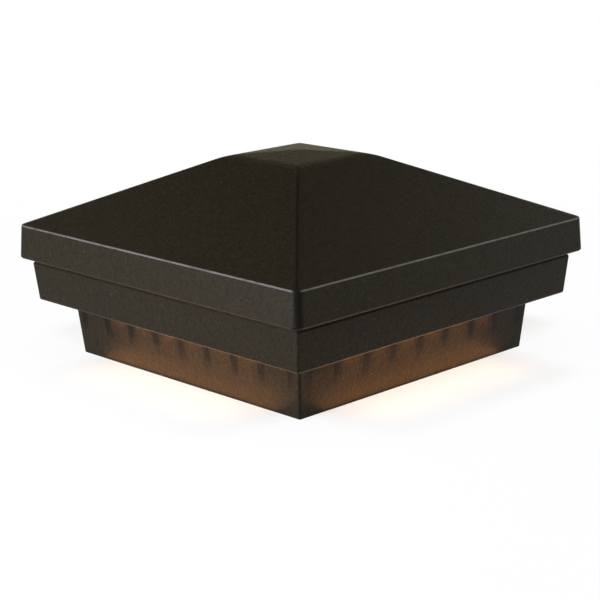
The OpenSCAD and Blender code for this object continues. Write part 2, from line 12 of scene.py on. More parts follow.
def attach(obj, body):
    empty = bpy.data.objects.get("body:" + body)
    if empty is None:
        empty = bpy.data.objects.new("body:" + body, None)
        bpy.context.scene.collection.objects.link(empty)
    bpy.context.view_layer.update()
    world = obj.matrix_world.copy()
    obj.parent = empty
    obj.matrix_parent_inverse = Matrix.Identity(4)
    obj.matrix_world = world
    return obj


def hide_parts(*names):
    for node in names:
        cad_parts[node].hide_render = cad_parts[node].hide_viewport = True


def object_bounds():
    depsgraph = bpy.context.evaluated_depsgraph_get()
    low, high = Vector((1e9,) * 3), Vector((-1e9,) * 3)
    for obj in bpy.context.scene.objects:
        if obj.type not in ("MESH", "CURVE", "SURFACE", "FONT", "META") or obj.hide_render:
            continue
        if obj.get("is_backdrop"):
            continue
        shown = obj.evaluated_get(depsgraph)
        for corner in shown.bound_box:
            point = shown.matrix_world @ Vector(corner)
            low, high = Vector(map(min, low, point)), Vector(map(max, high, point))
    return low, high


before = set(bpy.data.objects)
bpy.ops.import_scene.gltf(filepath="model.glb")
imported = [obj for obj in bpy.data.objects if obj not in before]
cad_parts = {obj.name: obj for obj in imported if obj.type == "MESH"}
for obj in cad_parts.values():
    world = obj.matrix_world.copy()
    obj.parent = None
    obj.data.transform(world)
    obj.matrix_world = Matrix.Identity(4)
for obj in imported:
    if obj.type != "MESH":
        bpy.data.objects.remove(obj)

LOG = logging.getLogger("post_cap_light")
MM = 0.001
WHITE = (1.0, 1.0, 1.0)
Colour = tuple[float, float, float]
Point = tuple[float, float, float]
Pair = tuple[float, float]
Range = tuple[float, float]
Triple = tuple[float, float, float]


class Side(Enum):
    """A side of the square light, with the angle that turns the front side onto it."""

    FRONT = 0
    RIGHT = 90
    BACK = 180
    LEFT = 270

    @property
    def label(self) -> str:
        """The side's name as the CAD nodes write it."""
        return self.name.lower()

    @property
    def turn(self) -> Matrix:
        """The rotation from the front side to this side."""
        return turned(self.value)


class Join(Enum):
    """What a boolean modifier does with its tool."""

    ADD = "UNION"
    CUT = "DIFFERENCE"


def turned(degrees: float) -> Matrix:
    """Gives the rotation about the upright axis by an angle in degrees."""
    return Matrix.Rotation(math.radians(degrees), 4, "Z")


def direction(azimuth: float, elevation: float) -> Vector:
    """Gives the unit vector from the object towards an azimuth and elevation in radians."""
    level = math.cos(elevation)
    return Vector((math.cos(azimuth) * level, math.sin(azimuth) * level, math.sin(elevation)))


def shade(colour: Colour, factor: float) -> Colour:
    """Gives a colour darker or lighter by a factor, with no channel past 1."""
    return tuple(min(1.0, channel * factor) for channel in colour)


# ---------------------------------------------------------------- shader tools


@dataclass(frozen=True)
class Noise:
    """A noise pattern.

    grain is the size of its lumps in millimetres, detail its octaves and rough how strong the finer
    octaves are. stretch squeezes each axis before the noise is read, and span gives the values between
    which the pattern is cut into patches.
    """

    grain: float
    detail: float = 2.0
    rough: float = 0.5
    stretch: Point | None = None
    span: Range = (0.0, 1.0)


class Sock:
    """A shader value whose operators add Math nodes."""

    def __init__(self, shader: "Shader", socket: bpy.types.NodeSocket) -> None:
        """Wraps an output socket of a shader's node."""
        self.shader = shader
        self.socket = socket

    def math(self, operation: str, *values: "Sock | float") -> "Sock":
        """Adds a Math node.

        Args:
            operation: The node's operation.
            values: Its inputs, in order.

        Returns:
            The node's result.
        """
        return self.shader.node("ShaderNodeMath", {"operation": operation}, dict(enumerate(values)))

    def __add__(self, other: "Sock | float") -> "Sock":
        """Adds."""
        return self.math("ADD", self, other)

    def __radd__(self, other: float) -> "Sock":
        """Adds to a number."""
        return self.math("ADD", other, self)

    def __sub__(self, other: "Sock | float") -> "Sock":
        """Subtracts."""
        return self.math("SUBTRACT", self, other)

    def __rsub__(self, other: float) -> "Sock":
        """Subtracts from a number."""
        return self.math("SUBTRACT", other, self)

    def __mul__(self, other: "Sock | float") -> "Sock":
        """Multiplies."""
        return self.math("MULTIPLY", self, other)

    def __rmul__(self, other: float) -> "Sock":
        """Multiplies a number."""
        return self.math("MULTIPLY", other, self)

    def __abs__(self) -> "Sock":
        """Gives the size without the sign."""
        return self.math("ABSOLUTE", self)

    def larger(self, other: "Sock | float") -> "Sock":
        """Gives the larger of two values."""
        return self.math("MAXIMUM", self, other)

    def smaller(self, other: "Sock | float") -> "Sock":
        """Gives the smaller of two values."""
        return self.math("MINIMUM", self, other)

    def repeat(self, period: float) -> "Sock":
        """Folds the value into one period, from 0 up to it."""
        return self.math("FLOORED_MODULO", self, period)

    def ramp(self, low: float, high: float) -> "Sock":
        """Gives 0 up to low, 1 from high, and a soft rise between them."""
        return self.shader.node("ShaderNodeMapRange", {"interpolation_type": "SMOOTHSTEP"},
                                {0: self, 1: low, 2: high})

    def within(self, low: float, high: float, soft: float) -> "Sock":
        """Gives 1 between low and high; each end's change takes the next soft units upwards.

        Args:
            low: Where the rise starts.
            high: Where the fall starts.
            soft: The width of the rise and of the fall.

        Returns:
            A mask from 0 to 1.
        """
        return self.ramp(low, low + soft) * (1 - self.ramp(high, high + soft))

    def beside(self, output: int | str) -> "Sock":
        """Gives another output of the same node."""
        return Sock(self.shader, self.socket.node.outputs[output])


Value = Sock | float | Sequence[float]


class Shader:
    """Builds one material's or world's node tree."""

    def __init__(self, owner: bpy.types.Material | bpy.types.World) -> None:
        """Empties the owner's tree.

        Args:
            owner: The material or world to build.
        """
        owner.use_nodes = True
        self.owner = owner
        self.tree = owner.node_tree
        self.tree.nodes.clear()

    def node(self, kind: str, settings: dict[str, object] | None = None,
             inputs: dict[int | str, Value] | None = None, output: int | str = 0) -> Sock:
        """Adds any node.

        Args:
            kind: The node's type.
            settings: What is set on the node before its sockets.
            inputs: Values or links of its input sockets, by name or number.
            output: The output socket to give back.

        Returns:
            That output socket.
        """
        node = self.tree.nodes.new(kind)
        for name, value in (settings or {}).items():
            setattr(node, name, value)
        for name, value in (inputs or {}).items():
            if isinstance(value, Sock):
                self.tree.links.new(value.socket, node.inputs[name])
            else:
                self._set(node.inputs[name], value)
        return Sock(self, node.outputs[output]) if node.outputs else Sock(self, None)

    @staticmethod
    def _set(socket: bpy.types.NodeSocket, value: float | Sequence[float]) -> None:
        """Sets a socket's own value, and gives a colour its alpha."""
        if socket.type == "RGBA":
            value = (*value[:3], 1.0)
        socket.default_value = value

    def point(self) -> Sock:
        """Gives the point on the piece, in metres."""
        return self.node("ShaderNodeTexCoord", output="Object")

    def axes(self) -> tuple[Sock, Sock, Sock]:
        """Gives the point's X, Y and Z in millimetres."""
        x = self.node("ShaderNodeSeparateXYZ", {}, {0: self.point()})
        return tuple(axis * (1 / MM) for axis in (x, x.beside(1), x.beside(2)))

    def square(self) -> tuple[Sock, Sock, Sock]:
        """Gives how far the point lies out from the middle, how far along its side, and its height."""
        x, y, z = self.axes()
        wide, deep = abs(x), abs(y)
        return wide.larger(deep), wide.smaller(deep), z

    def noise(self, pattern: Noise) -> Sock:
        """Adds a noise texture, from 0 to 1."""
        place = self.point()
        if pattern.stretch:
            place = self.node("ShaderNodeMapping", {}, {"Vector": place, "Scale": pattern.stretch})
        return self.node("ShaderNodeTexNoise", {}, {
            "Vector": place, "Scale": 1 / (pattern.grain * MM), "Detail": pattern.detail,
            "Roughness": pattern.rough})

    def patches(self, pattern: Noise) -> Sock:
        """Adds a noise texture that its span cuts into patches."""
        return self.noise(pattern).ramp(*pattern.span)

    def cells(self, size: float) -> Sock:
        """Gives the distance from the middle of Voronoi cells of a size in millimetres."""
        return self.node("ShaderNodeTexVoronoi", {"feature": "F1"},
                         {"Vector": self.point(), "Scale": 1 / (size * MM)}, "Distance")

    def mix(self, factor: Value, first: Value, second: Value) -> Sock:
        """Mixes two colours."""
        return self.node("ShaderNodeMix", {"data_type": "RGBA"}, {0: factor, 6: first, 7: second}, 2)

    def bump(self, height: Sock, depth: float, strength: float = 1.0, under: Sock | None = None) -> Sock:
        """Adds a bump.

        Args:
            height: The height, from 0 to 1.
            depth: What a height of 1 stands for, in millimetres.
            strength: How strongly it tilts the surface.
            under: A bump below this one.

        Returns:
            The tilted normal.
        """
        inputs: dict[int | str, Value] = {"Height": height, "Distance": depth * MM, "Strength": strength}
        if under:
            inputs["Normal"] = under
        return self.node("ShaderNodeBump", {}, inputs, "Normal")

    def surface(self, colour: Value, roughness: Value, **others: Value) -> Sock:
        """Adds a Principled shader; others name its sockets with _ for spaces."""
        inputs: dict[int | str, Value] = {"Base Color": colour, "Roughness": roughness}
        inputs.update({name.replace("_", " "): value for name, value in others.items()})
        return self.node("ShaderNodeBsdfPrincipled", {}, inputs)

    def rays(self) -> tuple[Sock, Sock, Sock]:
        """Tells camera rays, glossy rays and transmission rays, each by 1 or 0."""
        camera = self.node("ShaderNodeLightPath", output="Is Camera Ray")
        return camera, camera.beside("Is Glossy Ray"), camera.beside("Is Transmission Ray")

    def finish(self, shader: Sock) -> None:
        """Joins a shader to the owner's output."""
        kind = "ShaderNodeOutputWorld" if isinstance(self.owner, bpy.types.World) \
            else "ShaderNodeOutputMaterial"
        self.node(kind, {}, {0: shader})


# ---------------------------------------------------------------- finishes


@dataclass(frozen=True)
class Finish:
    """A finish for one of the record's material slots."""

    slot: str

    def paint(self, shader: Shader) -> None:
        """Builds the finish's nodes."""
        raise NotImplementedError

    def material(self) -> bpy.types.Material:
        """Gives the finish's material, made the first time it is asked for."""
        name = f"{type(self).__name__}.{self.slot}"
        found = bpy.data.materials.get(name)
        if found is None:
            found = bpy.data.materials.new(name)
            self.paint(Shader(found))
        return found

    def dress(self, piece: bpy.types.Object) -> bpy.types.Object:
        """Puts the finish on a piece or CAD node.

        Args:
            piece: What is dressed.

        Returns:
            The same piece.
        """
        if not piece.material_slots:
            piece.data.materials.append(self.material())
        for slot in piece.material_slots:
            slot.material = self.material()
        return piece


@dataclass(frozen=True)
class PowderCoat(Finish):
    """Fine-grained dark bronze powder coat on cast aluminium."""

    colour: Colour = (0.0108, 0.0080, 0.0034)
    lighter: float = 1.9
    darker: float = 0.35
    tone_shares: Triple = (0.7, 0.2, 0.1)
    roughness: float = 0.39
    gloss: float = 0.15
    tint: Colour = (1.0, 0.91, 0.74)
    grain: Noise = Noise(1.0, 3.0, 0.7, span=(0.32, 0.68))
    grain_height: float = 0.20
    grain_rough: float = 0.10
    peel: Noise = Noise(2.2, span=(0.3, 0.7))
    peel_height: float = 0.16
    wave: Noise = Noise(26.0, 2.0, 0.45)
    wave_rough: float = 0.06
    speck: Colour = (0.16, 0.15, 0.135)
    speck_share: float = 0.55
    speck_cells: float = 4.6
    speck_size: Range = (0.045, 0.075)
    speck_places: Noise = Noise(9.0, 1.0, span=(0.57, 0.62))
    dust: Colour = (0.050, 0.047, 0.042)
    dust_share: float = 0.35
    dust_rough: float = 0.06
    dust_lumps: Noise = Noise(3.2, 4.0, 0.7, span=(0.66, 0.74))
    dust_places: Noise = Noise(24.0, span=(0.56, 0.66))

    def paint(self, shader: Shader) -> None:
        """Builds the coat: pebbled grain, soft orange peel, cast waviness, dust and a few pale specks."""
        grain, peel, wave = (shader.noise(pattern) for pattern in (self.grain, self.peel, self.wave))
        specks = 1 - shader.cells(self.speck_cells).ramp(*self.speck_size)
        specks = specks * shader.patches(self.speck_places)
        dust = shader.patches(self.dust_lumps) * shader.patches(self.dust_places)
        by_grain, by_peel, by_wave = self.tone_shares
        tone = grain.ramp(*self.grain.span) * by_grain + peel.ramp(*self.peel.span) * by_peel + wave * by_wave
        base = shader.mix(tone, shade(self.colour, self.darker), shade(self.colour, self.lighter))
        base = shader.mix(dust * self.dust_share, base, self.dust)
        # The subclasses paint shade and highlights onto the colour here.
        base = self.paint_light_and_shade(shader, shader.mix(specks * self.speck_share, base, self.speck))
        normal = shader.bump(peel, self.peel_height)
        normal = shader.bump(grain, self.grain_height, under=normal)
        rough = self.roughness + wave * self.wave_rough + grain * self.grain_rough \
            - dust * self.dust_rough - self.shine(shader)
        shader.finish(shader.surface(base, rough, Normal=normal, Specular_IOR_Level=self.gloss,
                                     Specular_Tint=self.tint))

    def paint_light_and_shade(self, shader: Shader, base: Sock) -> Sock:
        """Gives the colour with light and shade painted on it; the plain coat has none."""
        return base

    def shine(self, shader: Shader) -> Value:
        """Gives how much smoother the coat is made: nowhere."""
        return 0.0


@dataclass(frozen=True)
class RoofCoat(PowderCoat):
    """The same coat on the roof, with painted shade along the hips, a painted dark reflection at the corners
    and a painted highlight along the eaves.
    """

    # Painted dark reflection at the corners and painted shade along the hips.
    dark: float = 0.05
    corner: Range = (89.0, 91.6)
    corner_reflection_share: float = 0.95
    hip: Range = (0.3, 1.3)
    hip_shade_share: float = 0.75
    plateau: Range = (24.0, 32.0)
    # Painted highlight along the eaves, broken up into patches; the coat is smoother there too.
    painted_highlight: Colour = (0.13, 0.124, 0.115)
    eave_smoothing: float = 0.16
    eave: Range = (92.3, 92.8)
    eave_heights: Range = (61.85, 62.5)
    eave_soft: float = 0.2
    highlight_patches: Noise = Noise(7.0, span=(0.25, 0.55))
    highlight_patch_share: float = 0.4

    def highlight_line(self, shader: Shader) -> Sock:
        """Marks the rounded eaves away from the corners, where a pale highlight is painted and the coat is
        smoother.
        """
        out, along, z = shader.square()
        band = z.within(*self.eave_heights, self.eave_soft)
        highlight_patches = shader.patches(self.highlight_patches) * self.highlight_patch_share + (1 - self.highlight_patch_share)
        return out.ramp(*self.eave) * band * (1 - along.ramp(*self.corner)) * highlight_patches

    def shine(self, shader: Shader) -> Value:
        """Gives how much smoother the coat is along the painted eave highlight."""
        return self.highlight_line(shader) * self.eave_smoothing

    def paint_light_and_shade(self, shader: Shader, base: Sock) -> Sock:
        """Paints shade along the hips, a dark reflection at the corners and a pale highlight along the eaves.
        """
        out, along, _ = shader.square()
        # Painted shade along the hips, and a painted dark reflection at the corners.
        hip = (1 - (out - along).ramp(*self.hip)) * out.ramp(*self.plateau)
        mask = (along.ramp(*self.corner) * self.corner_reflection_share).larger(hip * self.hip_shade_share)
        base = shader.mix(mask, base, shade(self.colour, self.dark))
        # Painted highlight along the eaves.
        return shader.mix(self.highlight_line(shader), base, self.painted_highlight)


@dataclass(frozen=True)
class BaseCoat(PowderCoat):
    """The same coat on the base, with painted shade on the collar's face between the LEDs' pools of light."""

    pitch: float = 17.3
    # Painted shade on the collar between the LEDs' pools of light.
    dark: float = 0.08
    gap_shade_share: float = 0.85
    gap_shade_edge: Range = (0.34, 0.42)
    gap_shade_heights: Range = (9.0, 17.0)
    collar: Range = (71.8, 76.5)
    collar_soft: float = 0.5
    sway: Noise = Noise(7.0)
    sway_size: float = 4.0
    ends: Noise = Noise(5.0)
    ends_size: float = 9.0

    def paint_light_and_shade(self, shader: Shader, base: Sock) -> Sock:
        """Paints shade on the collar's upper part half way between two LEDs, broken up by noise."""
        out, along, z = shader.square()
        along = along + (shader.noise(self.sway) - 0.5) * self.sway_size
        near, far = self.gap_shade_edge
        gap = abs(along.repeat(self.pitch) - self.pitch / 2).ramp(self.pitch * near, self.pitch * far)
        height = (z + (shader.noise(self.ends) - 0.5) * self.ends_size).ramp(*self.gap_shade_heights)
        # Painted shade between the LEDs on the collar's upper part.
        gap_shade = gap * height * out.within(*self.collar, self.collar_soft)
        return shader.mix(gap_shade * self.gap_shade_share, base, shade(self.colour, self.dark))


@dataclass(frozen=True)
class Foam(Finish):
    """Closed-cell foam of the gasket."""

    colour: Colour = (0.018, 0.018, 0.019)
    darker: float = 0.5
    roughness: float = 0.88
    pit: float = 0.55
    pit_span: Range = (0.1, 0.7)
    depth: float = 0.12

    def paint(self, shader: Shader) -> None:
        """Builds the foam: pitted cells in a matte skin."""
        pits = shader.cells(self.pit)
        base = shader.mix(pits.ramp(*self.pit_span), shade(self.colour, self.darker), self.colour)
        shader.finish(shader.surface(base, self.roughness, Normal=shader.bump(pits, self.depth)))


@dataclass(frozen=True)
class Rubber(Finish):
    """Moulded rubber with a dusty bloom."""

    colour: Colour = (0.016, 0.016, 0.017)
    roughness: float = 0.5
    bloom: Noise = Noise(3.0, 4.0, 0.6, span=(0.45, 0.8))
    bloom_colour: Colour = (0.045, 0.044, 0.042)
    bloom_share: float = 0.5
    bloom_rough: float = 0.2
    mould: Noise = Noise(0.3)
    depth: float = 0.02

    def paint(self, shader: Shader) -> None:
        """Builds the rubber: a pale bloom in patches over a fine mould texture."""
        bloom = shader.noise(self.bloom)
        base = shader.mix(bloom.ramp(*self.bloom.span) * self.bloom_share, self.colour, self.bloom_colour)
        shader.finish(shader.surface(base, bloom * self.bloom_rough + self.roughness,
                                     Normal=shader.bump(shader.noise(self.mould), self.depth)))


@dataclass(frozen=True)
class WhiteBoard(Finish):
    """White solder mask of the LED boards, with two tracks under it."""

    colour: Colour = (0.80, 0.79, 0.74)
    roughness: float = 0.36
    dim: Colour = (0.62, 0.60, 0.53)
    line: float = 80.62
    track_at: float = 2.3
    track_edge: Range = (0.55, 0.7)
    track_share: float = 0.25
    track_height: float = 0.03
    grime: Noise = Noise(6.0, 3.0, 0.6)
    grime_share: float = 0.12
    core: Colour = (0.55, 0.55, 0.56)
    core_heights: Range = (33.2, 33.95)
    core_soft: float = 0.08

    def paint(self, shader: Shader) -> None:
        """Builds the mask: the tracks run along the board on each side of its centre line."""
        out, _, z = shader.square()
        track = 1 - abs(abs(out - self.line) - self.track_at).ramp(*self.track_edge)
        dim = track * self.track_share + shader.noise(self.grime) * self.grime_share
        core = z.within(*self.core_heights, self.core_soft)
        base = shader.mix(core, shader.mix(dim, self.colour, self.dim), self.core)
        shader.finish(shader.surface(base, self.roughness, Metallic=core,
                                     Normal=shader.bump(track, self.track_height)))


@dataclass(frozen=True)
class GreenBoard(Finish):
    """Green solder mask of the driver's board, with tracks, ground copper and vias."""

    colour: Colour = (0.012, 0.105, 0.045)
    roughness: float = 0.30
    copper: Colour = (0.030, 0.190, 0.075)
    copper_height: float = 0.035
    grid: float = 2.54
    track_edge: Range = (0.3, 0.4)
    lanes: Noise = Noise(7.0, 0.0, span=(0.49, 0.51))
    pour: Noise = Noise(13.0, 0.0, span=(0.56, 0.58))
    via: Colour = (0.35, 0.32, 0.25)
    via_cells: float = 5.5
    via_size: Range = (0.07, 0.09)
    core: Colour = (0.30, 0.29, 0.16)
    core_rough: float = 0.35
    core_heights: Range = (33.72, 35.08)
    core_soft: float = 0.05

    def lines(self, axis: Sock) -> Sock:
        """Gives the tracks that the grid puts across an axis."""
        return 1 - abs(axis.repeat(self.grid) - self.grid / 2).ramp(*self.track_edge)

    def paint(self, shader: Shader) -> None:
        """Builds the mask: routed lines on a grid that a coarse noise breaks up."""
        x, y, z = shader.axes()
        lanes = shader.patches(self.lanes)
        track = self.lines(x) * lanes + self.lines(y) * (1 - lanes)
        metal = track.larger(shader.patches(self.pour))
        vias = 1 - shader.cells(self.via_cells).ramp(*self.via_size)
        core = z.within(*self.core_heights, self.core_soft)
        base = shader.mix(vias, shader.mix(metal, self.colour, self.copper), self.via)
        base = shader.mix(core, base, self.core)
        shader.finish(shader.surface(base, self.roughness + core * self.core_rough,
                                     Normal=shader.bump(metal, self.copper_height)))


@dataclass(frozen=True)
class Moulded(Finish):
    """Moulded plastic with a fine mould texture."""

    colour: Colour = (0.5, 0.5, 0.5)
    darker: float = 0.88
    lighter: float = 1.1
    roughness: float = 0.42
    texture: Noise = Noise(0.35)
    texture_rough: float = 0.1
    depth: float = 0.014
    flow: Noise = Noise(5.0, stretch=(1.0, 1.0, 3.0))

    def paint(self, shader: Shader) -> None:
        """Builds the plastic: eroded texture and slight flow marks."""
        texture = shader.noise(self.texture)
        base = shader.mix(shader.noise(self.flow), shade(self.colour, self.darker),
                          shade(self.colour, self.lighter))
        shader.finish(shader.surface(base, self.roughness + texture * self.texture_rough,
                                     Normal=shader.bump(texture, self.depth)))


@dataclass(frozen=True)
class Metal(Finish):
    """Bare or plated metal."""

    colour: Colour = (0.62, 0.63, 0.65)
    roughness: float = 0.30
    lines: Noise = Noise(0.35)
    depth: float = 0.008
    stains: Noise = Noise(2.2, 3.0, 0.6, span=(0.42, 0.75))
    stain_share: float = 0.3
    darker: float = 0.55
    uneven: float = 0.12

    def paint(self, shader: Shader) -> None:
        """Builds the metal: fine lines or grain, and dull patches."""
        lines = shader.noise(self.lines)
        stains = shader.patches(self.stains)
        base = shader.mix(stains * self.stain_share, self.colour, shade(self.colour, self.darker))
        shader.finish(shader.surface(base, self.roughness + lines * self.uneven + stains * self.uneven,
                                     Metallic=1.0, Normal=shader.bump(lines, self.depth)))


@dataclass(frozen=True)
class Ferrite(Finish):
    """Pressed and fired ferrite."""

    colour: Colour = (0.055, 0.055, 0.058)
    darker: float = 0.6
    roughness: float = 0.62
    grain: Noise = Noise(0.3, 4.0, 0.7, span=(0.3, 0.7))
    depth: float = 0.03

    def paint(self, shader: Shader) -> None:
        """Builds the ferrite: grainy and dull."""
        grain = shader.noise(self.grain)
        base = shader.mix(grain.ramp(*self.grain.span), shade(self.colour, self.darker), self.colour)
        shader.finish(shader.surface(base, self.roughness, Normal=shader.bump(grain, self.depth)))


@dataclass(frozen=True)
class Sleeve(Finish):
    """Shrink sleeve of the capacitors, with its pale polarity stripe."""

    colour: Colour = (0.012, 0.018, 0.055)
    roughness: float = 0.24
    centres: Pair = (-13.0, -3.0)
    row: float = 39.0
    stripe: Colour = (0.42, 0.44, 0.48)
    stripe_edge: Range = (1.1, 1.2)
    stripe_reach: Range = (2.6, 4.4)
    stripe_soft: float = 0.1
    wrinkle: Noise = Noise(1.6, stretch=(1.0, 1.0, 0.3))
    wrinkle_rough: float = 0.1
    depth: float = 0.02

    def paint(self, shader: Shader) -> None:
        """Builds the sleeve: the stripe is on the side that faces +X of each can."""
        x, y, _ = shader.axes()
        near, far = self.stripe_reach
        first, second = (x.within(centre + near, centre + far, self.stripe_soft) for centre in self.centres)
        stripe = (1 - abs(y - self.row).ramp(*self.stripe_edge)) * (first + second)
        wrinkle = shader.noise(self.wrinkle)
        shader.finish(shader.surface(shader.mix(stripe, self.colour, self.stripe),
                                     self.roughness + wrinkle * self.wrinkle_rough,
                                     Normal=shader.bump(wrinkle, self.depth)))


@dataclass(frozen=True)
class Insulation(Finish):
    """Wire insulation."""

    colour: Colour = (0.35, 0.02, 0.015)
    darker: float = 0.8
    lighter: float = 1.15
    roughness: float = 0.34
    wave: Noise = Noise(2.4)
    wave_rough: float = 0.1
    depth: float = 0.02

    def paint(self, shader: Shader) -> None:
        """Builds the insulation: smooth, slightly uneven plastic."""
        wave = shader.noise(self.wave)
        base = shader.mix(wave, shade(self.colour, self.darker), shade(self.colour, self.lighter))
        shader.finish(shader.surface(base, self.roughness + wave * self.wave_rough,
                                     Normal=shader.bump(wave, self.depth)))


@dataclass(frozen=True)
class Lens(Finish):
    """Clear polycarbonate strip, slightly frosted."""

    colour: Colour = (0.90, 0.92, 0.92)
    body: float = 0.22
    roughness: float = 0.10
    frost: Noise = Noise(1.2, 3.0, 0.6, span=(0.4, 0.8))
    frost_share: float = 0.12
    depth: float = 0.02
    tilt: float = 0.5

    def paint(self, shader: Shader) -> None:
        """Builds the strip: mostly see-through, with a faint frost."""
        frost = shader.noise(self.frost)
        shader.finish(shader.surface(self.colour, self.roughness + frost * self.frost_share,
                                     Alpha=self.body + frost.ramp(*self.frost.span) * self.frost_share,
                                     Normal=shader.bump(frost, self.depth, self.tilt)))


@dataclass(frozen=True)
class Glow(Finish):
    """Lit phosphor of an LED."""

    colour: Colour = (1.0, 0.66, 0.34)
    paler: Colour = (1.0, 0.74, 0.44)
    paler_share: float = 0.4
    mottle: Noise = Noise(0.5)
    strength: float = 9.0
    phosphor: Colour = (0.85, 0.62, 0.16)
    roughness: float = 0.5

    def paint(self, shader: Shader) -> None:
        """Builds the phosphor: a warm, slightly mottled glow."""
        glow = shader.mix(shader.noise(self.mottle) * self.paler_share, self.colour, self.paler)
        shader.finish(shader.surface(self.phosphor, self.roughness, Emission_Color=glow,
                                     Emission_Strength=self.strength))


@dataclass(frozen=True)
class Coats:
    """The finishes of the light."""

    roof: Finish = RoofCoat("roof_coat")
    base: Finish = BaseCoat("base_coat", colour=(0.0112, 0.0083, 0.0036), gloss=0.112)
    foam: Finish = Foam("foam")
    rubber: Finish = Rubber("grommet_rubber")
    white_board: Finish = WhiteBoard("white_board")
    led: Finish = Moulded("led_body", colour=(0.82, 0.74, 0.52), roughness=0.35)
    glow: Finish = Glow("led_body")
    lens: Finish = Lens("lens_clear")
    plated: Finish = Metal("screw_steel", colour=(0.66, 0.66, 0.64), roughness=0.22)
    green_board: Finish = GreenBoard("green_board")
    terminal: Finish = Moulded("terminal_plastic", colour=(0.02, 0.19, 0.07))
    black: Finish = Moulded("black_plastic", colour=(0.016, 0.016, 0.017), roughness=0.5)
    ferrite: Finish = Ferrite("ferrite")
    copper: Finish = Metal("ferrite", colour=(0.62, 0.25, 0.10), roughness=0.28)
    sleeve: Finish = Sleeve("capacitor_sleeve")
    ivory: Finish = Moulded("ivory_plastic", colour=(0.74, 0.70, 0.58), roughness=0.38)
    live: Finish = Insulation("lead_insulation")
    neutral: Finish = Insulation("black_plastic", colour=(0.014, 0.014, 0.015))
    spring: Finish = Metal("spring_steel", colour=(0.52, 0.53, 0.55), roughness=0.26,
                           lines=Noise(0.35, stretch=(0.15, 0.15, 1.0)))


# ---------------------------------------------------------------- modelling tools


HALF_TURN = turned(180)
ALL_ROUND = tuple(side.turn for side in Side)
SMALLEST_CORNER = 0.25


@dataclass(frozen=True)
class Ring:
    """One level of a square body with round corners, in millimetres."""

    half: float
    z: float
    corner: float


def rounding(half: float, z: float, corner: float, radius: float, start: float, end: float,
             steps: int = 6) -> list[Ring]:
    """Gives the rings of a rounded edge.

    Args:
        half: Half width at the arc's centre.
        z: Height of the arc's centre.
        corner: Corner radius at the arc's centre.
        radius: Radius of the arc.
        start: Angle of its first point in degrees, 0 outwards and 90 up.
        end: Angle of its last point.
        steps: Its segments.

    Returns:
        The rings from start to end.
    """
    angles = [math.radians(start + (end - start) * i / steps) for i in range(steps + 1)]
    return [Ring(half + radius * math.cos(a), z + radius * math.sin(a),
                 max(SMALLEST_CORNER, corner + radius * math.cos(a))) for a in angles]


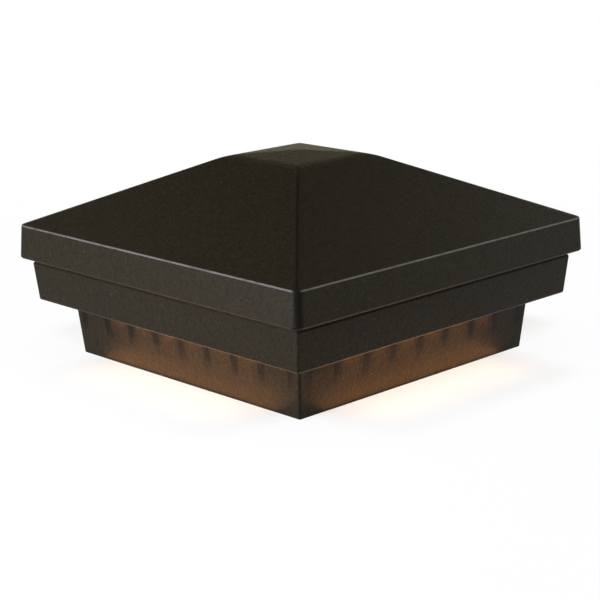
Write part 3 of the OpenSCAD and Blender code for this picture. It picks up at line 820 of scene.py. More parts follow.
class Bench:
    """Modelling with Blender's operators, on a bench where nothing else is selected.

    SAME_WIDTH and SAME_CORNER are changes too small to make, DOUBLE is the distance in metres at which
    two points are one, and a pin's side faces have SIDE_CORNERS corners, fewer than its end faces.
    """

    CORNER_STEPS = 8
    SAME_WIDTH = 1e-7
    SAME_CORNER = 1e-5
    DOUBLE = 1e-7
    FACE_WEIGHT = 80
    BLOCK_SEGMENTS = 2
    SIDE_CORNERS = 4

    @staticmethod
    def clear() -> None:
        """Leaves edit mode and deselects everything."""
        if bpy.context.mode != "OBJECT":
            bpy.ops.object.mode_set(mode="OBJECT")
        bpy.ops.object.select_all(action="DESELECT")

    @classmethod
    def pick(cls, piece: bpy.types.Object) -> None:
        """Selects one piece alone and makes it active."""
        cls.clear()
        piece.select_set(True)
        bpy.context.view_layer.objects.active = piece

    @staticmethod
    def settle(name: str) -> bpy.types.Object:
        """Names the new primitive and moves its place into its mesh.

        Args:
            name: The piece's name.

        Returns:
            The piece.
        """
        piece = bpy.context.active_object
        piece.name = piece.data.name = name
        bpy.ops.object.transform_apply(location=True, rotation=True, scale=True)
        return piece

    @classmethod
    def loft(cls, name: str, rings: Sequence[Ring]) -> bpy.types.Object:
        """Extrudes a plane from ring to ring into a closed square body.

        Args:
            name: The piece's name.
            rings: Its levels, in order along the surface.

        Returns:
            The body.
        """
        cls.clear()
        first = rings[0]
        bpy.ops.mesh.primitive_plane_add(size=2 * first.half * MM, location=(0, 0, first.z * MM))
        piece = cls.settle(name)
        bpy.ops.object.mode_set(mode="EDIT")
        bpy.ops.mesh.select_all(action="SELECT")
        bpy.ops.mesh.bevel(affect="VERTICES", offset=first.corner * MM, segments=cls.CORNER_STEPS,
                           profile=0.5)
        for last, ring in zip(rings, rings[1:]):
            cls._next_ring(piece, last, ring)
        bpy.ops.mesh.select_all(action="SELECT")
        bpy.ops.mesh.normals_make_consistent(inside=False)
        bpy.ops.object.mode_set(mode="OBJECT")
        return piece

    @classmethod
    def _next_ring(cls, piece: bpy.types.Object, last: Ring, ring: Ring) -> None:
        """Extrudes the selected end to the next ring and sets its corners."""
        z = ring.z * MM
        bpy.ops.mesh.extrude_region_move(TRANSFORM_OT_translate={"value": (0, 0, z - last.z * MM)})
        ratio = ring.half / last.half
        if abs(ratio - 1) > cls.SAME_WIDTH:
            bpy.ops.transform.resize(value=(ratio, ratio, 1), center_override=(0, 0, z))
        corner = ring.corner / (last.corner * ratio)
        if abs(corner - 1) < cls.SAME_CORNER:
            return
        mesh = bmesh.from_edit_mesh(piece.data)
        end = [v for v in mesh.verts if v.select]
        for x in (-1, 1):
            for y in (-1, 1):
                for vertex in end:
                    vertex.select = vertex.co.x * x > 0 and vertex.co.y * y > 0
                mesh.select_flush_mode()
                bpy.ops.transform.resize(value=(corner, corner, 1),
                                         center_override=(x * ring.half * MM, y * ring.half * MM, z))
        for vertex in end:
            vertex.select = True
        mesh.select_flush(True)
        bmesh.update_edit_mesh(piece.data)

    @classmethod
    def pin(cls, name: str, centre: tuple[float, float], radius: float, low: float, high: float,
            edge: float = 0.0, sides: int = 40) -> bpy.types.Object:
        """Makes an upright round pin, with its rims bevelled where edge isn't 0.

        Args:
            name: The piece's name.
            centre: Its axis.
            radius: Its radius.
            low: Its lower end.
            high: Its upper end.
            edge: The bevel of its rims.
            sides: Its sides.

        Returns:
            The pin.
        """
        cls.clear()
        bpy.ops.mesh.primitive_cylinder_add(
            vertices=sides, radius=radius * MM, depth=(high - low) * MM,
            location=(centre[0] * MM, centre[1] * MM, (low + high) / 2 * MM))
        piece = cls.settle(name)
        if edge:
            cls.bevel(piece, edge, lambda e: len(e.link_faces) == 2
                      and any(len(f.verts) > cls.SIDE_CORNERS for f in e.link_faces))
        return piece

    @classmethod
    def block(cls, name: str, low: Point, high: Point, edge: float = 0.0) -> bpy.types.Object:
        """Makes a block between two corners, with its edges bevelled where edge isn't 0.

        Args:
            name: The piece's name.
            low: Its lowest corner.
            high: Its highest corner.
            edge: The bevel of its edges.

        Returns:
            The block.
        """
        cls.clear()
        middle = [(a + b) / 2 * MM for a, b in zip(low, high)]
        bpy.ops.mesh.primitive_cube_add(size=1, location=middle,
                                        scale=[(b - a) * MM for a, b in zip(low, high)])
        piece = cls.settle(name)
        if edge:
            cls.bevel(piece, edge, lambda e: True, cls.BLOCK_SEGMENTS)
        return piece

    @classmethod
    def bevel(cls, piece: bpy.types.Object, width: float, chosen: Callable[[bmesh.types.BMEdge], bool],
              segments: int = 3) -> None:
        """Bevels the edges that a test chooses.

        Args:
            piece: The piece.
            width: The bevel's width.
            chosen: Tells of each edge whether it is bevelled.
            segments: The bevel's segments.
        """
        cls.pick(piece)
        bpy.ops.object.mode_set(mode="EDIT")
        bpy.ops.mesh.select_all(action="DESELECT")
        mesh = bmesh.from_edit_mesh(piece.data)
        for e in mesh.edges:
            e.select = bool(chosen(e))
        bmesh.update_edit_mesh(piece.data)
        bpy.ops.mesh.bevel(affect="EDGES", offset=width * MM, segments=segments, profile=0.5)
        bpy.ops.object.mode_set(mode="OBJECT")

    @classmethod
    def trim(cls, piece: bpy.types.Object, point: Point, normal: Point) -> None:
        """Cuts a piece by a plane, closes it there and drops what lies past the plane.

        Args:
            piece: The piece.
            point: A point of the plane, in millimetres.
            normal: The direction of the side that is dropped.
        """
        cls.pick(piece)
        bpy.ops.object.mode_set(mode="EDIT")
        bpy.ops.mesh.select_all(action="SELECT")
        bpy.ops.mesh.bisect(plane_co=[c * MM for c in point], plane_no=normal, use_fill=True,
                            clear_outer=True)
        bpy.ops.object.mode_set(mode="OBJECT")

    @classmethod
    def join(cls, name: str, pieces: Iterable[bpy.types.Object]) -> bpy.types.Object:
        """Joins pieces into one object.

        Args:
            name: The new name.
            pieces: What is joined.

        Returns:
            The joined object.
        """
        pieces = list(pieces)
        cls.clear()
        for piece in pieces:
            piece.select_set(True)
        bpy.context.view_layer.objects.active = pieces[0]
        if len(pieces) > 1:
            bpy.ops.object.join()
        pieces[0].name = pieces[0].data.name = name
        return pieces[0]

    @classmethod
    def copy(cls, piece: bpy.types.Object, name: str, place: Matrix) -> bpy.types.Object:
        """Copies a piece, with its own mesh, to another place.

        Args:
            piece: The piece.
            name: The copy's name.
            place: The move or turn, in millimetres.

        Returns:
            The copy.
        """
        other = piece.copy()
        other.data = piece.data.copy()
        other.name = other.data.name = name
        bpy.context.scene.collection.objects.link(other)
        scaled = place.copy()
        scaled.translation *= MM
        other.data.transform(scaled)
        return other

    @classmethod
    def copies(cls, piece: bpy.types.Object, places: Iterable[Matrix]) -> list[bpy.types.Object]:
        """Copies a piece to several places and removes the piece itself.

        Args:
            piece: The piece.
            places: The copies' moves or turns, in millimetres.

        Returns:
            The copies, in the order of their places.
        """
        made = [cls.copy(piece, f"{piece.name}_copy", place) for place in places]
        bpy.data.objects.remove(piece)
        return made

    @classmethod
    def boolean(cls, piece: bpy.types.Object, tool: bpy.types.Object, job: Join) -> None:
        """Adds a tool's shape to a piece or cuts it away, and removes the tool.

        Args:
            piece: The piece.
            tool: The other shape.
            job: Whether it is added or cut.
        """
        cls.pick(piece)
        modifier = piece.modifiers.new("boolean", "BOOLEAN")
        modifier.operation = job.value
        modifier.solver = "EXACT"
        modifier.object = tool
        bpy.ops.object.modifier_apply(modifier=modifier.name)
        bpy.data.objects.remove(tool)

    @classmethod
    def smooth(cls, piece: bpy.types.Object, angle: float = 32.0) -> bpy.types.Object:
        """Merges doubles, turns the faces outwards and shades them smooth up to an angle.

        Args:
            piece: The piece.
            angle: The largest angle in degrees that is still smooth.

        Returns:
            The piece.
        """
        cls.pick(piece)
        bpy.ops.object.mode_set(mode="EDIT")
        bpy.ops.mesh.select_all(action="SELECT")
        bpy.ops.mesh.remove_doubles(threshold=cls.DOUBLE)
        bpy.ops.mesh.normals_make_consistent(inside=False)
        bpy.ops.object.mode_set(mode="OBJECT")
        bpy.ops.object.shade_smooth_by_angle(angle=math.radians(angle))
        modifier = piece.modifiers.new("weighted", "WEIGHTED_NORMAL")
        modifier.keep_sharp = True
        modifier.weight = cls.FACE_WEIGHT
        bpy.ops.object.modifier_apply(modifier=modifier.name)
        return piece


def place(piece: bpy.types.Object, body: str, finish: Finish, *nodes: str) -> bpy.types.Object:
    """Dresses a new piece, rides it on its body and lets it stand for CAD nodes.

    Args:
        piece: The piece.
        body: The CAD body that carries it.
        finish: Its finish.
        nodes: The CAD nodes that it replaces.

    Returns:
        The piece.
    """
    finish.dress(piece)
    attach(piece, body)
    if nodes:
        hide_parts(*nodes)
    LOG.info("%s: %d faces on %s", piece.name, len(piece.data.polygons), body)
    return piece


def dress_nodes(finish: Finish, *names: str) -> None:
    """Gives CAD nodes their finish."""
    for name in names:
        finish.dress(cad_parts[name])
        LOG.info("%s: CAD node in %s", name, finish.slot)


# ---------------------------------------------------------------- castings


@dataclass
class Sizes:
    """The sizes that both castings share, in millimetres."""

    draft: float = math.tan(math.radians(5.35))
    socket: float = 70.6
    collar: float = 73.1
    collar_top: float = 26.1
    deck_top: float = 28.6
    channel_top: float = 34.1
    shelf_top: float = 36.6
    well: float = 73.04
    lip: float = 84.94
    band: float = 87.44
    seam: float = 46.6
    rim_out: float = 88.56
    rim_in: float = 86.06
    rim_top: float = 58.0
    line: float = 80.62

    def collar_at(self, z: float) -> float:
        """The collar's half width at a height."""
        return self.collar + z * self.draft

    def band_at(self, z: float) -> float:
        """The band's half width at a height."""
        return self.band + (z - self.collar_top) * self.draft


@dataclass
class BaseCasting:
    """The drafted collar, its deck, the light channel and the band, cast in one.

    Levels are heights, and a pair of a pin or hole gives its place or height and its radius.
    """

    sizes: Sizes = field(default_factory=Sizes)
    corner: float = 1.0
    inner_corner: float = 2.0
    socket_corner: float = 1.5
    fillet: float = 1.0
    edge: float = 0.4
    edge_steps: int = 3
    deck_width: float = 3.0
    deck_corner: float = 1.2
    foot: float = 0.8
    band_foot: float = 1.3
    band_steps: int = 8
    band_levels: Pair = (40.0, 33.0)
    collar_levels: Pair = (18.0, 9.0)
    shoulder_drop: float = 1.8
    shoulder: float = 0.9
    shoulder_edge: Triple = (0.05, 0.1, 0.2)
    root: float = 1.0
    past: float = 1.0
    standoffs: tuple[Pair, ...] = ((-28, 17), (28, 17), (-28, 49), (28, 49))
    standoff: Pair = (33.6, 3.2)
    standoff_edge: float = 0.3
    standoff_hole: float = 1.55
    hole_floor: float = 0.2
    boss: Pair = (32.1, 9.0)
    boss_edge: float = 0.5
    bore: Pair = (34.0, 5.0)
    sink: Pair = (1.8, 7.1)
    fine: int = 64
    coarse: int = 24
    post_screw: Pair = (50.0, 2.6)
    board_screw: Pair = (34.6, 1.3)
    lens_screw: Pair = (56.9, 1.3)
    lead_hole: Pair = (-48.4, 1.5)

    def hollow(self, half: float, floor: float, top: float) -> list[Ring]:
        """Gives an inner wall, from the fillet at its floor to the rounded edge at its top.

        Args:
            half: The wall's half width.
            floor: The height of its floor.
            top: The height of its top.

        Returns:
            The wall's rings.
        """
        f, e, corner = self.fillet, self.edge, self.inner_corner
        return rounding(half - f, floor + f, corner - f, f, -90, 0) \
            + rounding(half + e, top - e, corner + e, e, 180, 90, self.edge_steps)

    def rings(self) -> list[Ring]:
        """Gives the casting's surface, from the well's floor round the band to the socket's roof."""
        s, r, e = self.sizes, self.corner, self.edge
        well = [Ring(s.well - self.deck_width, s.deck_top, self.deck_corner),
                *self.hollow(s.well, s.deck_top, s.shelf_top)]
        rim = self.hollow(s.rim_in, s.shelf_top, s.rim_top) \
            + rounding(s.rim_out - e, s.rim_top - e, r - e, e, 90, 0, self.edge_steps)
        top = s.seam - self.shoulder_drop
        low = top - self.shoulder
        inward, above, below = self.shoulder_edge
        band = [Ring(s.rim_out, top, r), Ring(s.band_at(low) - inward, low + above, r),
                *(Ring(s.band_at(z), z, r) for z in (low - below, *self.band_levels))]
        f = self.band_foot
        foot = rounding(s.band_at(s.collar_top + f) - f, s.collar_top + f, r - f, f, 0, -90,
                        self.band_steps)
        channel = [Ring(s.lip + e, s.collar_top, r), Ring(s.lip, s.collar_top + e, r),
                   Ring(s.lip, s.channel_top, r),
                   *(Ring(s.collar_at(z), z, r) for z in (s.channel_top, *self.collar_levels))]
        f = self.foot
        collar = rounding(s.collar_at(f) - f, f, r - f, f, 0, -90)
        socket = [Ring(s.socket + e, 0, self.socket_corner + e), Ring(s.socket, e, self.socket_corner),
                  Ring(s.socket, s.collar_top, self.socket_corner)]
        return well + rim + band + foot + channel + collar + socket

    def additions(self) -> bpy.types.Object:
        """Makes the standoffs and the grommet's boss."""
        low = self.sizes.deck_top - self.root
        top, radius = self.standoff
        pins = [Bench.pin("standoff", c, radius, low, top, self.standoff_edge) for c in self.standoffs]
        top, radius = self.boss
        return Bench.join("additions", [
            *pins, Bench.pin("boss", (0, 0), radius, low, top, self.boss_edge, self.fine)])

    def holes(self) -> bpy.types.Object:
        """Makes the cutters of every hole but the grommet's."""
        s, past = self.sizes, self.past
        at, radius = self.post_screw
        cutters = [Bench.pin("hole", (x, y), radius, s.collar_top - 2 * past, s.deck_top + 2 * past)
                   for x in (-at, at) for y in (-at, at)]
        cutters += [Bench.pin("hole", c, self.standoff_hole, s.deck_top + self.hole_floor,
                              self.standoff[0] + past) for c in self.standoffs]
        row = [(x, radius) for at, radius in (self.board_screw, self.lens_screw) for x in (-at, at)]
        shelf = [Bench.pin("hole", (x, -s.line), radius, s.channel_top - past, s.shelf_top + past,
                           sides=self.coarse) for x, radius in (*row, self.lead_hole)]
        return Bench.join("holes", [*cutters, *Bench.copies(Bench.join("shelf_holes", shelf), ALL_ROUND)])

    def build(self) -> bpy.types.Object:
        """Builds and places the casting."""
        casting = Bench.loft("base_shell", self.rings())
        Bench.boolean(casting, self.additions(), Join.ADD)
        Bench.boolean(casting, self.holes(), Join.CUT)
        low, past = self.sizes.collar_top, self.past
        top, radius = self.bore
        Bench.boolean(casting, Bench.pin("bore", (0, 0), radius, low + past, top, sides=self.fine), Join.CUT)
        depth, radius = self.sink
        Bench.boolean(casting, Bench.pin("sink", (0, 0), radius, low - past, low + depth, sides=self.fine),
                      Join.CUT)
        Bench.smooth(casting)
        return place(casting, "base", Coats.base, "base_casting")


@dataclass
class RoofCasting:
    """The hipped roof: fascia, rounded eaves, slopes, soft shoulder to the low peak, ribs and bosses.

    Each level of the tip gives its half width, how far down the peak's pitch it lies, and its corner.
    A boss gives its distance from the middle, its radius and its foot's height, and a hole its radius,
    its start and its end from that foot.
    """

    sizes: Sizes = field(default_factory=Sizes)
    fascia: float = 93.96
    fascia_in: float = 91.26
    eave: float = 93.26
    eave_z: float = 62.5
    rise: float = 31.5
    plateau: float = 23.8
    peak_rise: float = 2.3
    wall: float = 2.8
    shoulder: float = 59.2
    cavity: float = 85.46
    corner: float = 4.0
    inner_corner: float = 2.0
    hip: float = 1.6
    foot: float = 1.2
    edge: float = 0.5
    edge_steps: int = 3
    round_steps: int = 8
    slope_steps: int = 6
    eave_radius: float = 1.3
    blend: float = 26.0
    tip: tuple[Triple, ...] = ((6.0, 6.0, 1.6), (3.0, 3.2, 1.2), (1.4, 2.0, 0.8), (0.5, 1.6, 0.4))
    rib: float = 3.0
    rib_thick: float = 1.8
    rib_root: float = 0.6
    rib_end: float = 0.3
    boss: Triple = (79.81, 3.5, 60.5)
    boss_edge: float = 0.3
    boss_root: float = 1.2
    hole: Triple = (1.55, -1.0, 5.5)
    hole_sides: int = 24

    def __post_init__(self) -> None:
        """Works out the pitches."""
        self.slope = self.rise / (self.eave - self.plateau)
        self.pitch = math.atan(self.slope)
        self.peak_slope = self.peak_rise / self.plateau
        self.drop = self.wall / math.cos(self.pitch)
        self.plateau_z = self.eave_z + self.rise
        self.cavity_top = self.plateau_z - self.wall

    def ceiling(self, half: float) -> float:
        """The height of the ceiling at a distance from the middle."""
        return self.eave_z + (self.eave - half) * self.slope - self.drop

    def underside(self) -> list[Ring]:
        """Gives the inner surface, from the ceiling down round the fascia's lap to its foot."""
        e, r = self.edge, self.inner_corner
        top_half = self.eave - (self.cavity_top + self.drop - self.eave_z) / self.slope
        inside = [Ring(top_half, self.cavity_top, r), Ring(self.cavity, self.ceiling(self.cavity), r),
                  Ring(self.cavity, self.shoulder + e, r), Ring(self.cavity + e, self.shoulder, r + e)]
        lap = rounding(self.fascia_in - e, self.shoulder - e, r - e, e, 90, 0, self.edge_steps)
        seam, f = self.sizes.seam, self.foot
        foot = [Ring(self.fascia_in, seam + e, r), Ring(self.fascia_in + e, seam, r + e),
                *rounding(self.fascia - f, seam + f, self.corner - f, f, -90, 0, self.round_steps)]
        return inside + lap + foot

    def rings(self) -> list[Ring]:
        """Gives the roof's whole surface, from its ceiling round the fascia to the peak."""
        pitch, peak_pitch = math.degrees(self.pitch), math.degrees(math.atan(self.peak_slope))
        r = self.eave_radius
        t = r / math.tan(math.radians((90 + pitch) / 2))
        eaves = rounding(self.eave - r, self.eave_z - t, self.corner - r, r, 0, 90 - pitch,
                         self.round_steps)
        t = self.blend * math.tan(math.radians((pitch - peak_pitch) / 2))
        x = self.plateau + t * math.cos(self.pitch) - self.blend * math.sin(self.pitch)
        z = self.plateau_z - t * math.sin(self.pitch) - self.blend * math.cos(self.pitch)
        arc = rounding(x, z, 0, self.blend, 90 - pitch, 90 - peak_pitch, self.round_steps)
        shoulder = [Ring(ring.half, ring.z, self.hip) for ring in arc]
        a, b, count = eaves[-1], shoulder[0], self.slope_steps
        slope = [Ring(a.half + (b.half - a.half) * k / count, a.z + (b.z - a.z) * k / count,
                      a.corner + (b.corner - a.corner) * k / count) for k in range(1, count)]
        peak = self.plateau_z + self.peak_rise
        tip = [Ring(half, peak - down * self.peak_slope, corner) for half, down, corner in self.tip]
        return self.underside() + eaves + slope + shoulder + tip

    def half_rib(self, diagonal: bool) -> bpy.types.Object:
        """Makes the rib from the middle to one side or corner, along +X.

        Args:
            diagonal: Whether the rib runs to a corner.

        Returns:
            The half rib.
        """
        reach = math.sqrt(2) if diagonal else 1.0
        end = (self.cavity + self.rib_end) * reach
        t = self.rib_thick / 2
        rib = Bench.block("rib", (-t, -t, self.shoulder), (end, t, self.plateau_z))
        tilt = self.slope / reach
        Bench.trim(rib, (0, 0, self.ceiling(0) + self.rib_root), (tilt, 0, 1))
        Bench.trim(rib, (0, 0, self.ceiling(0) - self.rib), (-tilt, 0, -1))
        Bench.trim(rib, (0, 0, self.cavity_top + self.rib_root), (0, 0, 1))
        if diagonal:
            Bench.trim(rib, (self.cavity * reach, 0, 0), (1, 0, 0))
        return rib

    def build(self) -> bpy.types.Object:
        """Builds and places the roof."""
        casting = Bench.loft("roof_shell", self.rings())
        for diagonal, start in ((False, 0), (True, 45)):
            turns = [turned(start + side.value) for side in Side]
            for rib in Bench.copies(self.half_rib(diagonal), turns):
                Bench.boolean(casting, rib, Join.ADD)
        at, radius, low = self.boss
        boss = Bench.pin("boss", (0, -at), radius, low, self.ceiling(at) + self.boss_root, self.boss_edge)
        Bench.boolean(casting, Bench.join("bosses", Bench.copies(boss, ALL_ROUND)), Join.ADD)
        radius, start, end = self.hole
        hole = Bench.pin("hole", (0, -at), radius, low + start, low + end, sides=self.hole_sides)
        Bench.boolean(casting, Bench.join("holes", Bench.copies(hole, ALL_ROUND)), Join.CUT)
        Bench.smooth(casting)
        return place(casting, "roof", Coats.roof, "roof_casting")


# ---------------------------------------------------------------- light


@dataclass
class LightRow:
    """One side's LED strip: board, LEDs, their parts, the lens and the light itself.

    The corners of chips and pads count from the middle of the front board's underside. A beam gives
    its tilt and cone in degrees, its watts and its colour.
    """

    side: Side
    sizes: Sizes = field(default_factory=Sizes)
    pitch: float = 17.3
    count: int = 6
    led_low: float = 32.3
    board_low: float = 33.1
    dish: float = 1.0
    dish_span: Range = (-0.12, 0.26)
    dish_edge: float = 0.1
    dish_sides: int = 24
    chip: tuple[Point, Point] = ((-1.0, -0.62, -0.5), (1.0, 0.62, -0.04))
    chip_edge: float = 0.06
    led_pad: tuple[Point, Point] = ((1.55, -1.15, -0.28), (2.15, 1.15, 0.02))
    led_pad_edge: float = 0.1
    chip_pad: tuple[Point, Point] = ((0.85, -0.66, -0.53), (1.22, 0.66, 0.02))
    chip_pad_edge: float = 0.08
    lamp_z: float = 27.9
    lamp_radius: float = 0.8
    beams: tuple[tuple[float, float, float, Colour], ...] = (
        (11.0, 98.0, 0.015, (1.0, 0.64, 0.32)),
        (-50.0, 98.0, 0.033, (1.0, 0.43, 0.17)),
    )
    glow_size: Pair = (116.0, 12.0)
    glow_line: float = 80.0
    glow_z: float = 0.6
    glow_watts: float = 0.020
    glow_colour: Colour = (1.0, 0.44, 0.18)

    def leds(self) -> list[float]:
        """Gives the LEDs' places along the strip."""
        return [(i - (self.count - 1) / 2) * self.pitch for i in range(self.count)]

    def resistors(self) -> list[float]:
        """Gives the chip resistors' places along the strip."""
        return [-self.pitch, 0.0, self.pitch]

    def shifts(self, row: Iterable[float]) -> list[Matrix]:
        """Gives the moves from the middle of the front strip to places along this one."""
        return [self.side.turn @ Matrix.Translation((x, 0, 0)) for x in row]

    def block(self, name: str, corners: tuple[Point, Point], edge: float) -> bpy.types.Object:
        """Makes a small block on the underside of the front board.

        Args:
            name: The block's name.
            corners: Its lowest and highest corner, from the middle of the board's underside.
            edge: The bevel of its edges.

        Returns:
            The block.
        """
        low, high = ((x, y - self.sizes.line, z + self.board_low) for x, y, z in corners)
        return Bench.block(name, low, high, edge)

    def phosphor(self) -> bpy.types.Object:
        """Makes the domed phosphor discs."""
        low, high = (self.led_low + step for step in self.dish_span)
        disc = Bench.pin("disc", (0, -self.sizes.line), self.dish, low, high, self.dish_edge,
                         self.dish_sides)
        discs = Bench.copies(disc, self.shifts(self.leds()))
        return Bench.smooth(Bench.join(f"phosphor_{self.side.label}", discs))

    def chips(self) -> bpy.types.Object:
        """Makes the chip resistors between the LEDs."""
        chip = self.block("chip", self.chip, self.chip_edge)
        chips = Bench.copies(chip, self.shifts(self.resistors()))
        return Bench.smooth(Bench.join(f"chips_{self.side.label}", chips))

    def pads(self) -> bpy.types.Object:
        """Makes the solder at both ends of the LEDs and resistors."""
        led = self.block("pad", self.led_pad, self.led_pad_edge)
        end = self.block("end", self.chip_pad, self.chip_pad_edge)
        line = self.sizes.line
        about = Matrix.Translation((0, -line, 0)) @ HALF_TURN @ Matrix.Translation((0, line, 0))
        pads = [pad for tool, row in ((led, self.leds()), (end, self.resistors()))
                for pad in Bench.copies(tool, [shift @ flip for shift in self.shifts(row)
                                               for flip in (Matrix.Identity(4), about)])]
        return Bench.smooth(Bench.join(f"solder_{self.side.label}", pads))

    def hang(self, data: bpy.types.Light, x: float, line: float, z: float,
             tilt: float) -> bpy.types.Object:
        """Adds a lamp to this side.

        Args:
            data: The lamp's data.
            x: Its place along the side.
            line: How far out it is.
            z: Its height.
            tilt: Its turn about the side's length in radians, 0 straight down.

        Returns:
            The lamp.
        """
        lamp = bpy.data.objects.new(data.name, data)
        spot = Matrix.Translation(Vector((x, -line, z)) * MM)
        lamp.matrix_world = self.side.turn @ spot @ Matrix.Rotation(tilt, 4, "X")
        bpy.context.scene.collection.objects.link(lamp)
        return lamp

    def lamps(self) -> None:
        """Adds each LED's light, which leaves the lens downwards, and its share on the collar."""
        for number, x in enumerate(self.leds()):
            for tilt, cone, watts, colour in self.beams:
                data = bpy.data.lights.new(f"led_{self.side.label}_{number}", "SPOT")
                data.energy = watts
                data.color = colour
                data.spot_size = math.radians(cone)
                data.spot_blend = 1.0
                data.shadow_soft_size = self.lamp_radius * MM
                self.hang(data, x, self.sizes.line, self.lamp_z, math.radians(-tilt))

    def ground_glow(self) -> None:
        """Adds the light that the lit ground throws back up at the collar and the band's edge."""
        data = bpy.data.lights.new(f"glow_{self.side.label}", "AREA")
        data.shape = "RECTANGLE"
        data.size, data.size_y = (length * MM for length in self.glow_size)
        data.energy = self.glow_watts
        data.color = self.glow_colour
        self.hang(data, 0, self.glow_line, self.glow_z, math.pi).visible_camera = False

    def build(self) -> None:
        """Builds the strip's parts and dresses its CAD nodes."""
        label = self.side.label
        dress_nodes(Coats.white_board, f"led_board_{label}")
        dress_nodes(Coats.led, f"leds_{label}")
        dress_nodes(Coats.lens, f"lens_{label}")
        place(self.phosphor(), "base", Coats.glow)
        place(self.chips(), "base", Coats.black)
        place(self.pads(), "base", Coats.plated)
        self.lamps()
        self.ground_glow()


# ---------------------------------------------------------------- driver


@dataclass
class DriverDeck:
    """The driver's board on its standoffs, with its parts. Heights count from the board's top."""

    top: float = 35.2
    coil: Pair = (16.0, 35.0)
    turns: int = 7
    turn: Pair = (5.42, 0.27)
    turn_low: float = 1.95
    turn_rise: float = 0.52
    turn_steps: tuple[int, int] = (48, 8)
    cans: tuple[Pair, ...] = ((-13.0, 39.0), (-3.0, 39.0))
    can: float = 3.3
    can_span: Range = (10.7, 11.12)
    can_edge: float = 0.12
    can_sides: int = 48
    score: Pair = (2.6, 0.14)
    score_span: Range = (10.98, 11.4)
    chips: tuple[tuple[float, float, int], ...] = (
        (-8, 26, 0), (-8, 29, 0), (10, 24, 90), (13, 24, 90), (22, 30, 0), (-22, 33, 90), (-22, 38, 0),
        (6, 47, 0), (11, 47, 0), (-16, 49, 0), (18, 45, 90), (0, 25, 90))
    chip: tuple[Point, Point] = ((-0.95, -0.6, 0.03), (0.95, 0.6, 0.55))
    chip_edge: float = 0.06
    chip_end: tuple[Point, Point] = ((0.8, -0.66, -0.02), (1.25, 0.66, 0.6))
    chip_end_edge: float = 0.1
    sockets: tuple[Pair, ...] = ((-29, 24), (-29, 42), (29, 24), (29, 42))
    slot: float = 1.0
    pin_apart: float = 1.25
    pin: float = 0.3
    pin_span: Range = (2.4, 4.6)
    pin_edge: float = 0.12

    def on_board(self, x: float, y: float, degrees: float) -> Matrix:
        """Gives the move from the origin to a place on the board, turned by an angle."""
        return Matrix.Translation((x, y, self.top)) @ turned(degrees)

    def winding(self) -> bpy.types.Object:
        """Makes the copper turns in the drum's groove."""
        x, y = (distance * MM for distance in self.coil)
        major, minor = (radius * MM for radius in self.turn)
        round_steps, wire_steps = self.turn_steps
        turns = []
        for number in range(self.turns):
            Bench.clear()
            bpy.ops.mesh.primitive_torus_add(
                major_segments=round_steps, minor_segments=wire_steps, major_radius=major,
                minor_radius=minor,
                location=(x, y, (self.top + self.turn_low + self.turn_rise * number) * MM))
            turns.append(Bench.settle("turn"))
        return Bench.smooth(Bench.join("coil_turns", turns))

    def can_tops(self) -> bpy.types.Object:
        """Makes the scored aluminium tops of the capacitors."""
        low, high = (self.top + z for z in self.can_span)
        long, wide = self.score
        floor, past = self.score_span
        tops = []
        for x, y in self.cans:
            top = Bench.pin("can_top", (x, y), self.can, low, high, self.can_edge, self.can_sides)
            score = Bench.block("score", (-long, -wide, floor), (long, wide, past))
            for tool in Bench.copies(score, [self.on_board(x, y, turn) for turn in (0, 90)]):
                Bench.boolean(top, tool, Join.CUT)
            tops.append(top)
        return Bench.smooth(Bench.join("can_tops", tops))

    def chip_parts(self) -> tuple[bpy.types.Object, bpy.types.Object]:
        """Makes the small chip parts and their soldered ends.

        Returns:
            The bodies and the ends.
        """
        spots = [self.on_board(*chip) for chip in self.chips]
        bodies = Bench.copies(Bench.block("chip", *self.chip, self.chip_edge), spots)
        ends = Bench.copies(Bench.block("end", *self.chip_end, self.chip_end_edge),
                            [spot @ flip for spot in spots for flip in (Matrix.Identity(4), HALF_TURN)])
        return (Bench.smooth(Bench.join("driver_chips", bodies)),
                Bench.smooth(Bench.join("driver_solder", ends)))

    def pins(self) -> bpy.types.Object:
        """Makes the contact pins that stand in the sockets' slots."""
        low, high = (self.top + z for z in self.pin_span)
        half, pins = self.pin, []
        for x, y in self.sockets:
            slot = x + math.copysign(self.slot, x)
            for dy in (-self.pin_apart, self.pin_apart):
                pins.append(Bench.block("pin", (slot - half, y + dy - half, low),
                                        (slot + half, y + dy + half, high), self.pin_edge))
        return Bench.smooth(Bench.join("socket_pins", pins))

    def build(self) -> None:
        """Builds the parts and dresses the CAD nodes."""
        dress_nodes(Coats.green_board, "driver_board")
        dress_nodes(Coats.terminal, "terminal_block")
        dress_nodes(Coats.black, "bridge_rectifier", "regulator_chip")
        dress_nodes(Coats.ferrite, "power_inductor")
        dress_nodes(Coats.sleeve, "capacitors")
        dress_nodes(Coats.ivory, "output_sockets")
        dress_nodes(Coats.plated, "terminal_screws", "driver_screws")
        place(self.winding(), "base", Coats.copper)
        place(self.can_tops(), "base", Coats.plated)
        bodies, ends = self.chip_parts()
        place(bodies, "base", Coats.black)
        place(ends, "base", Coats.plated)
        place(self.pins(), "base", Coats.plated)


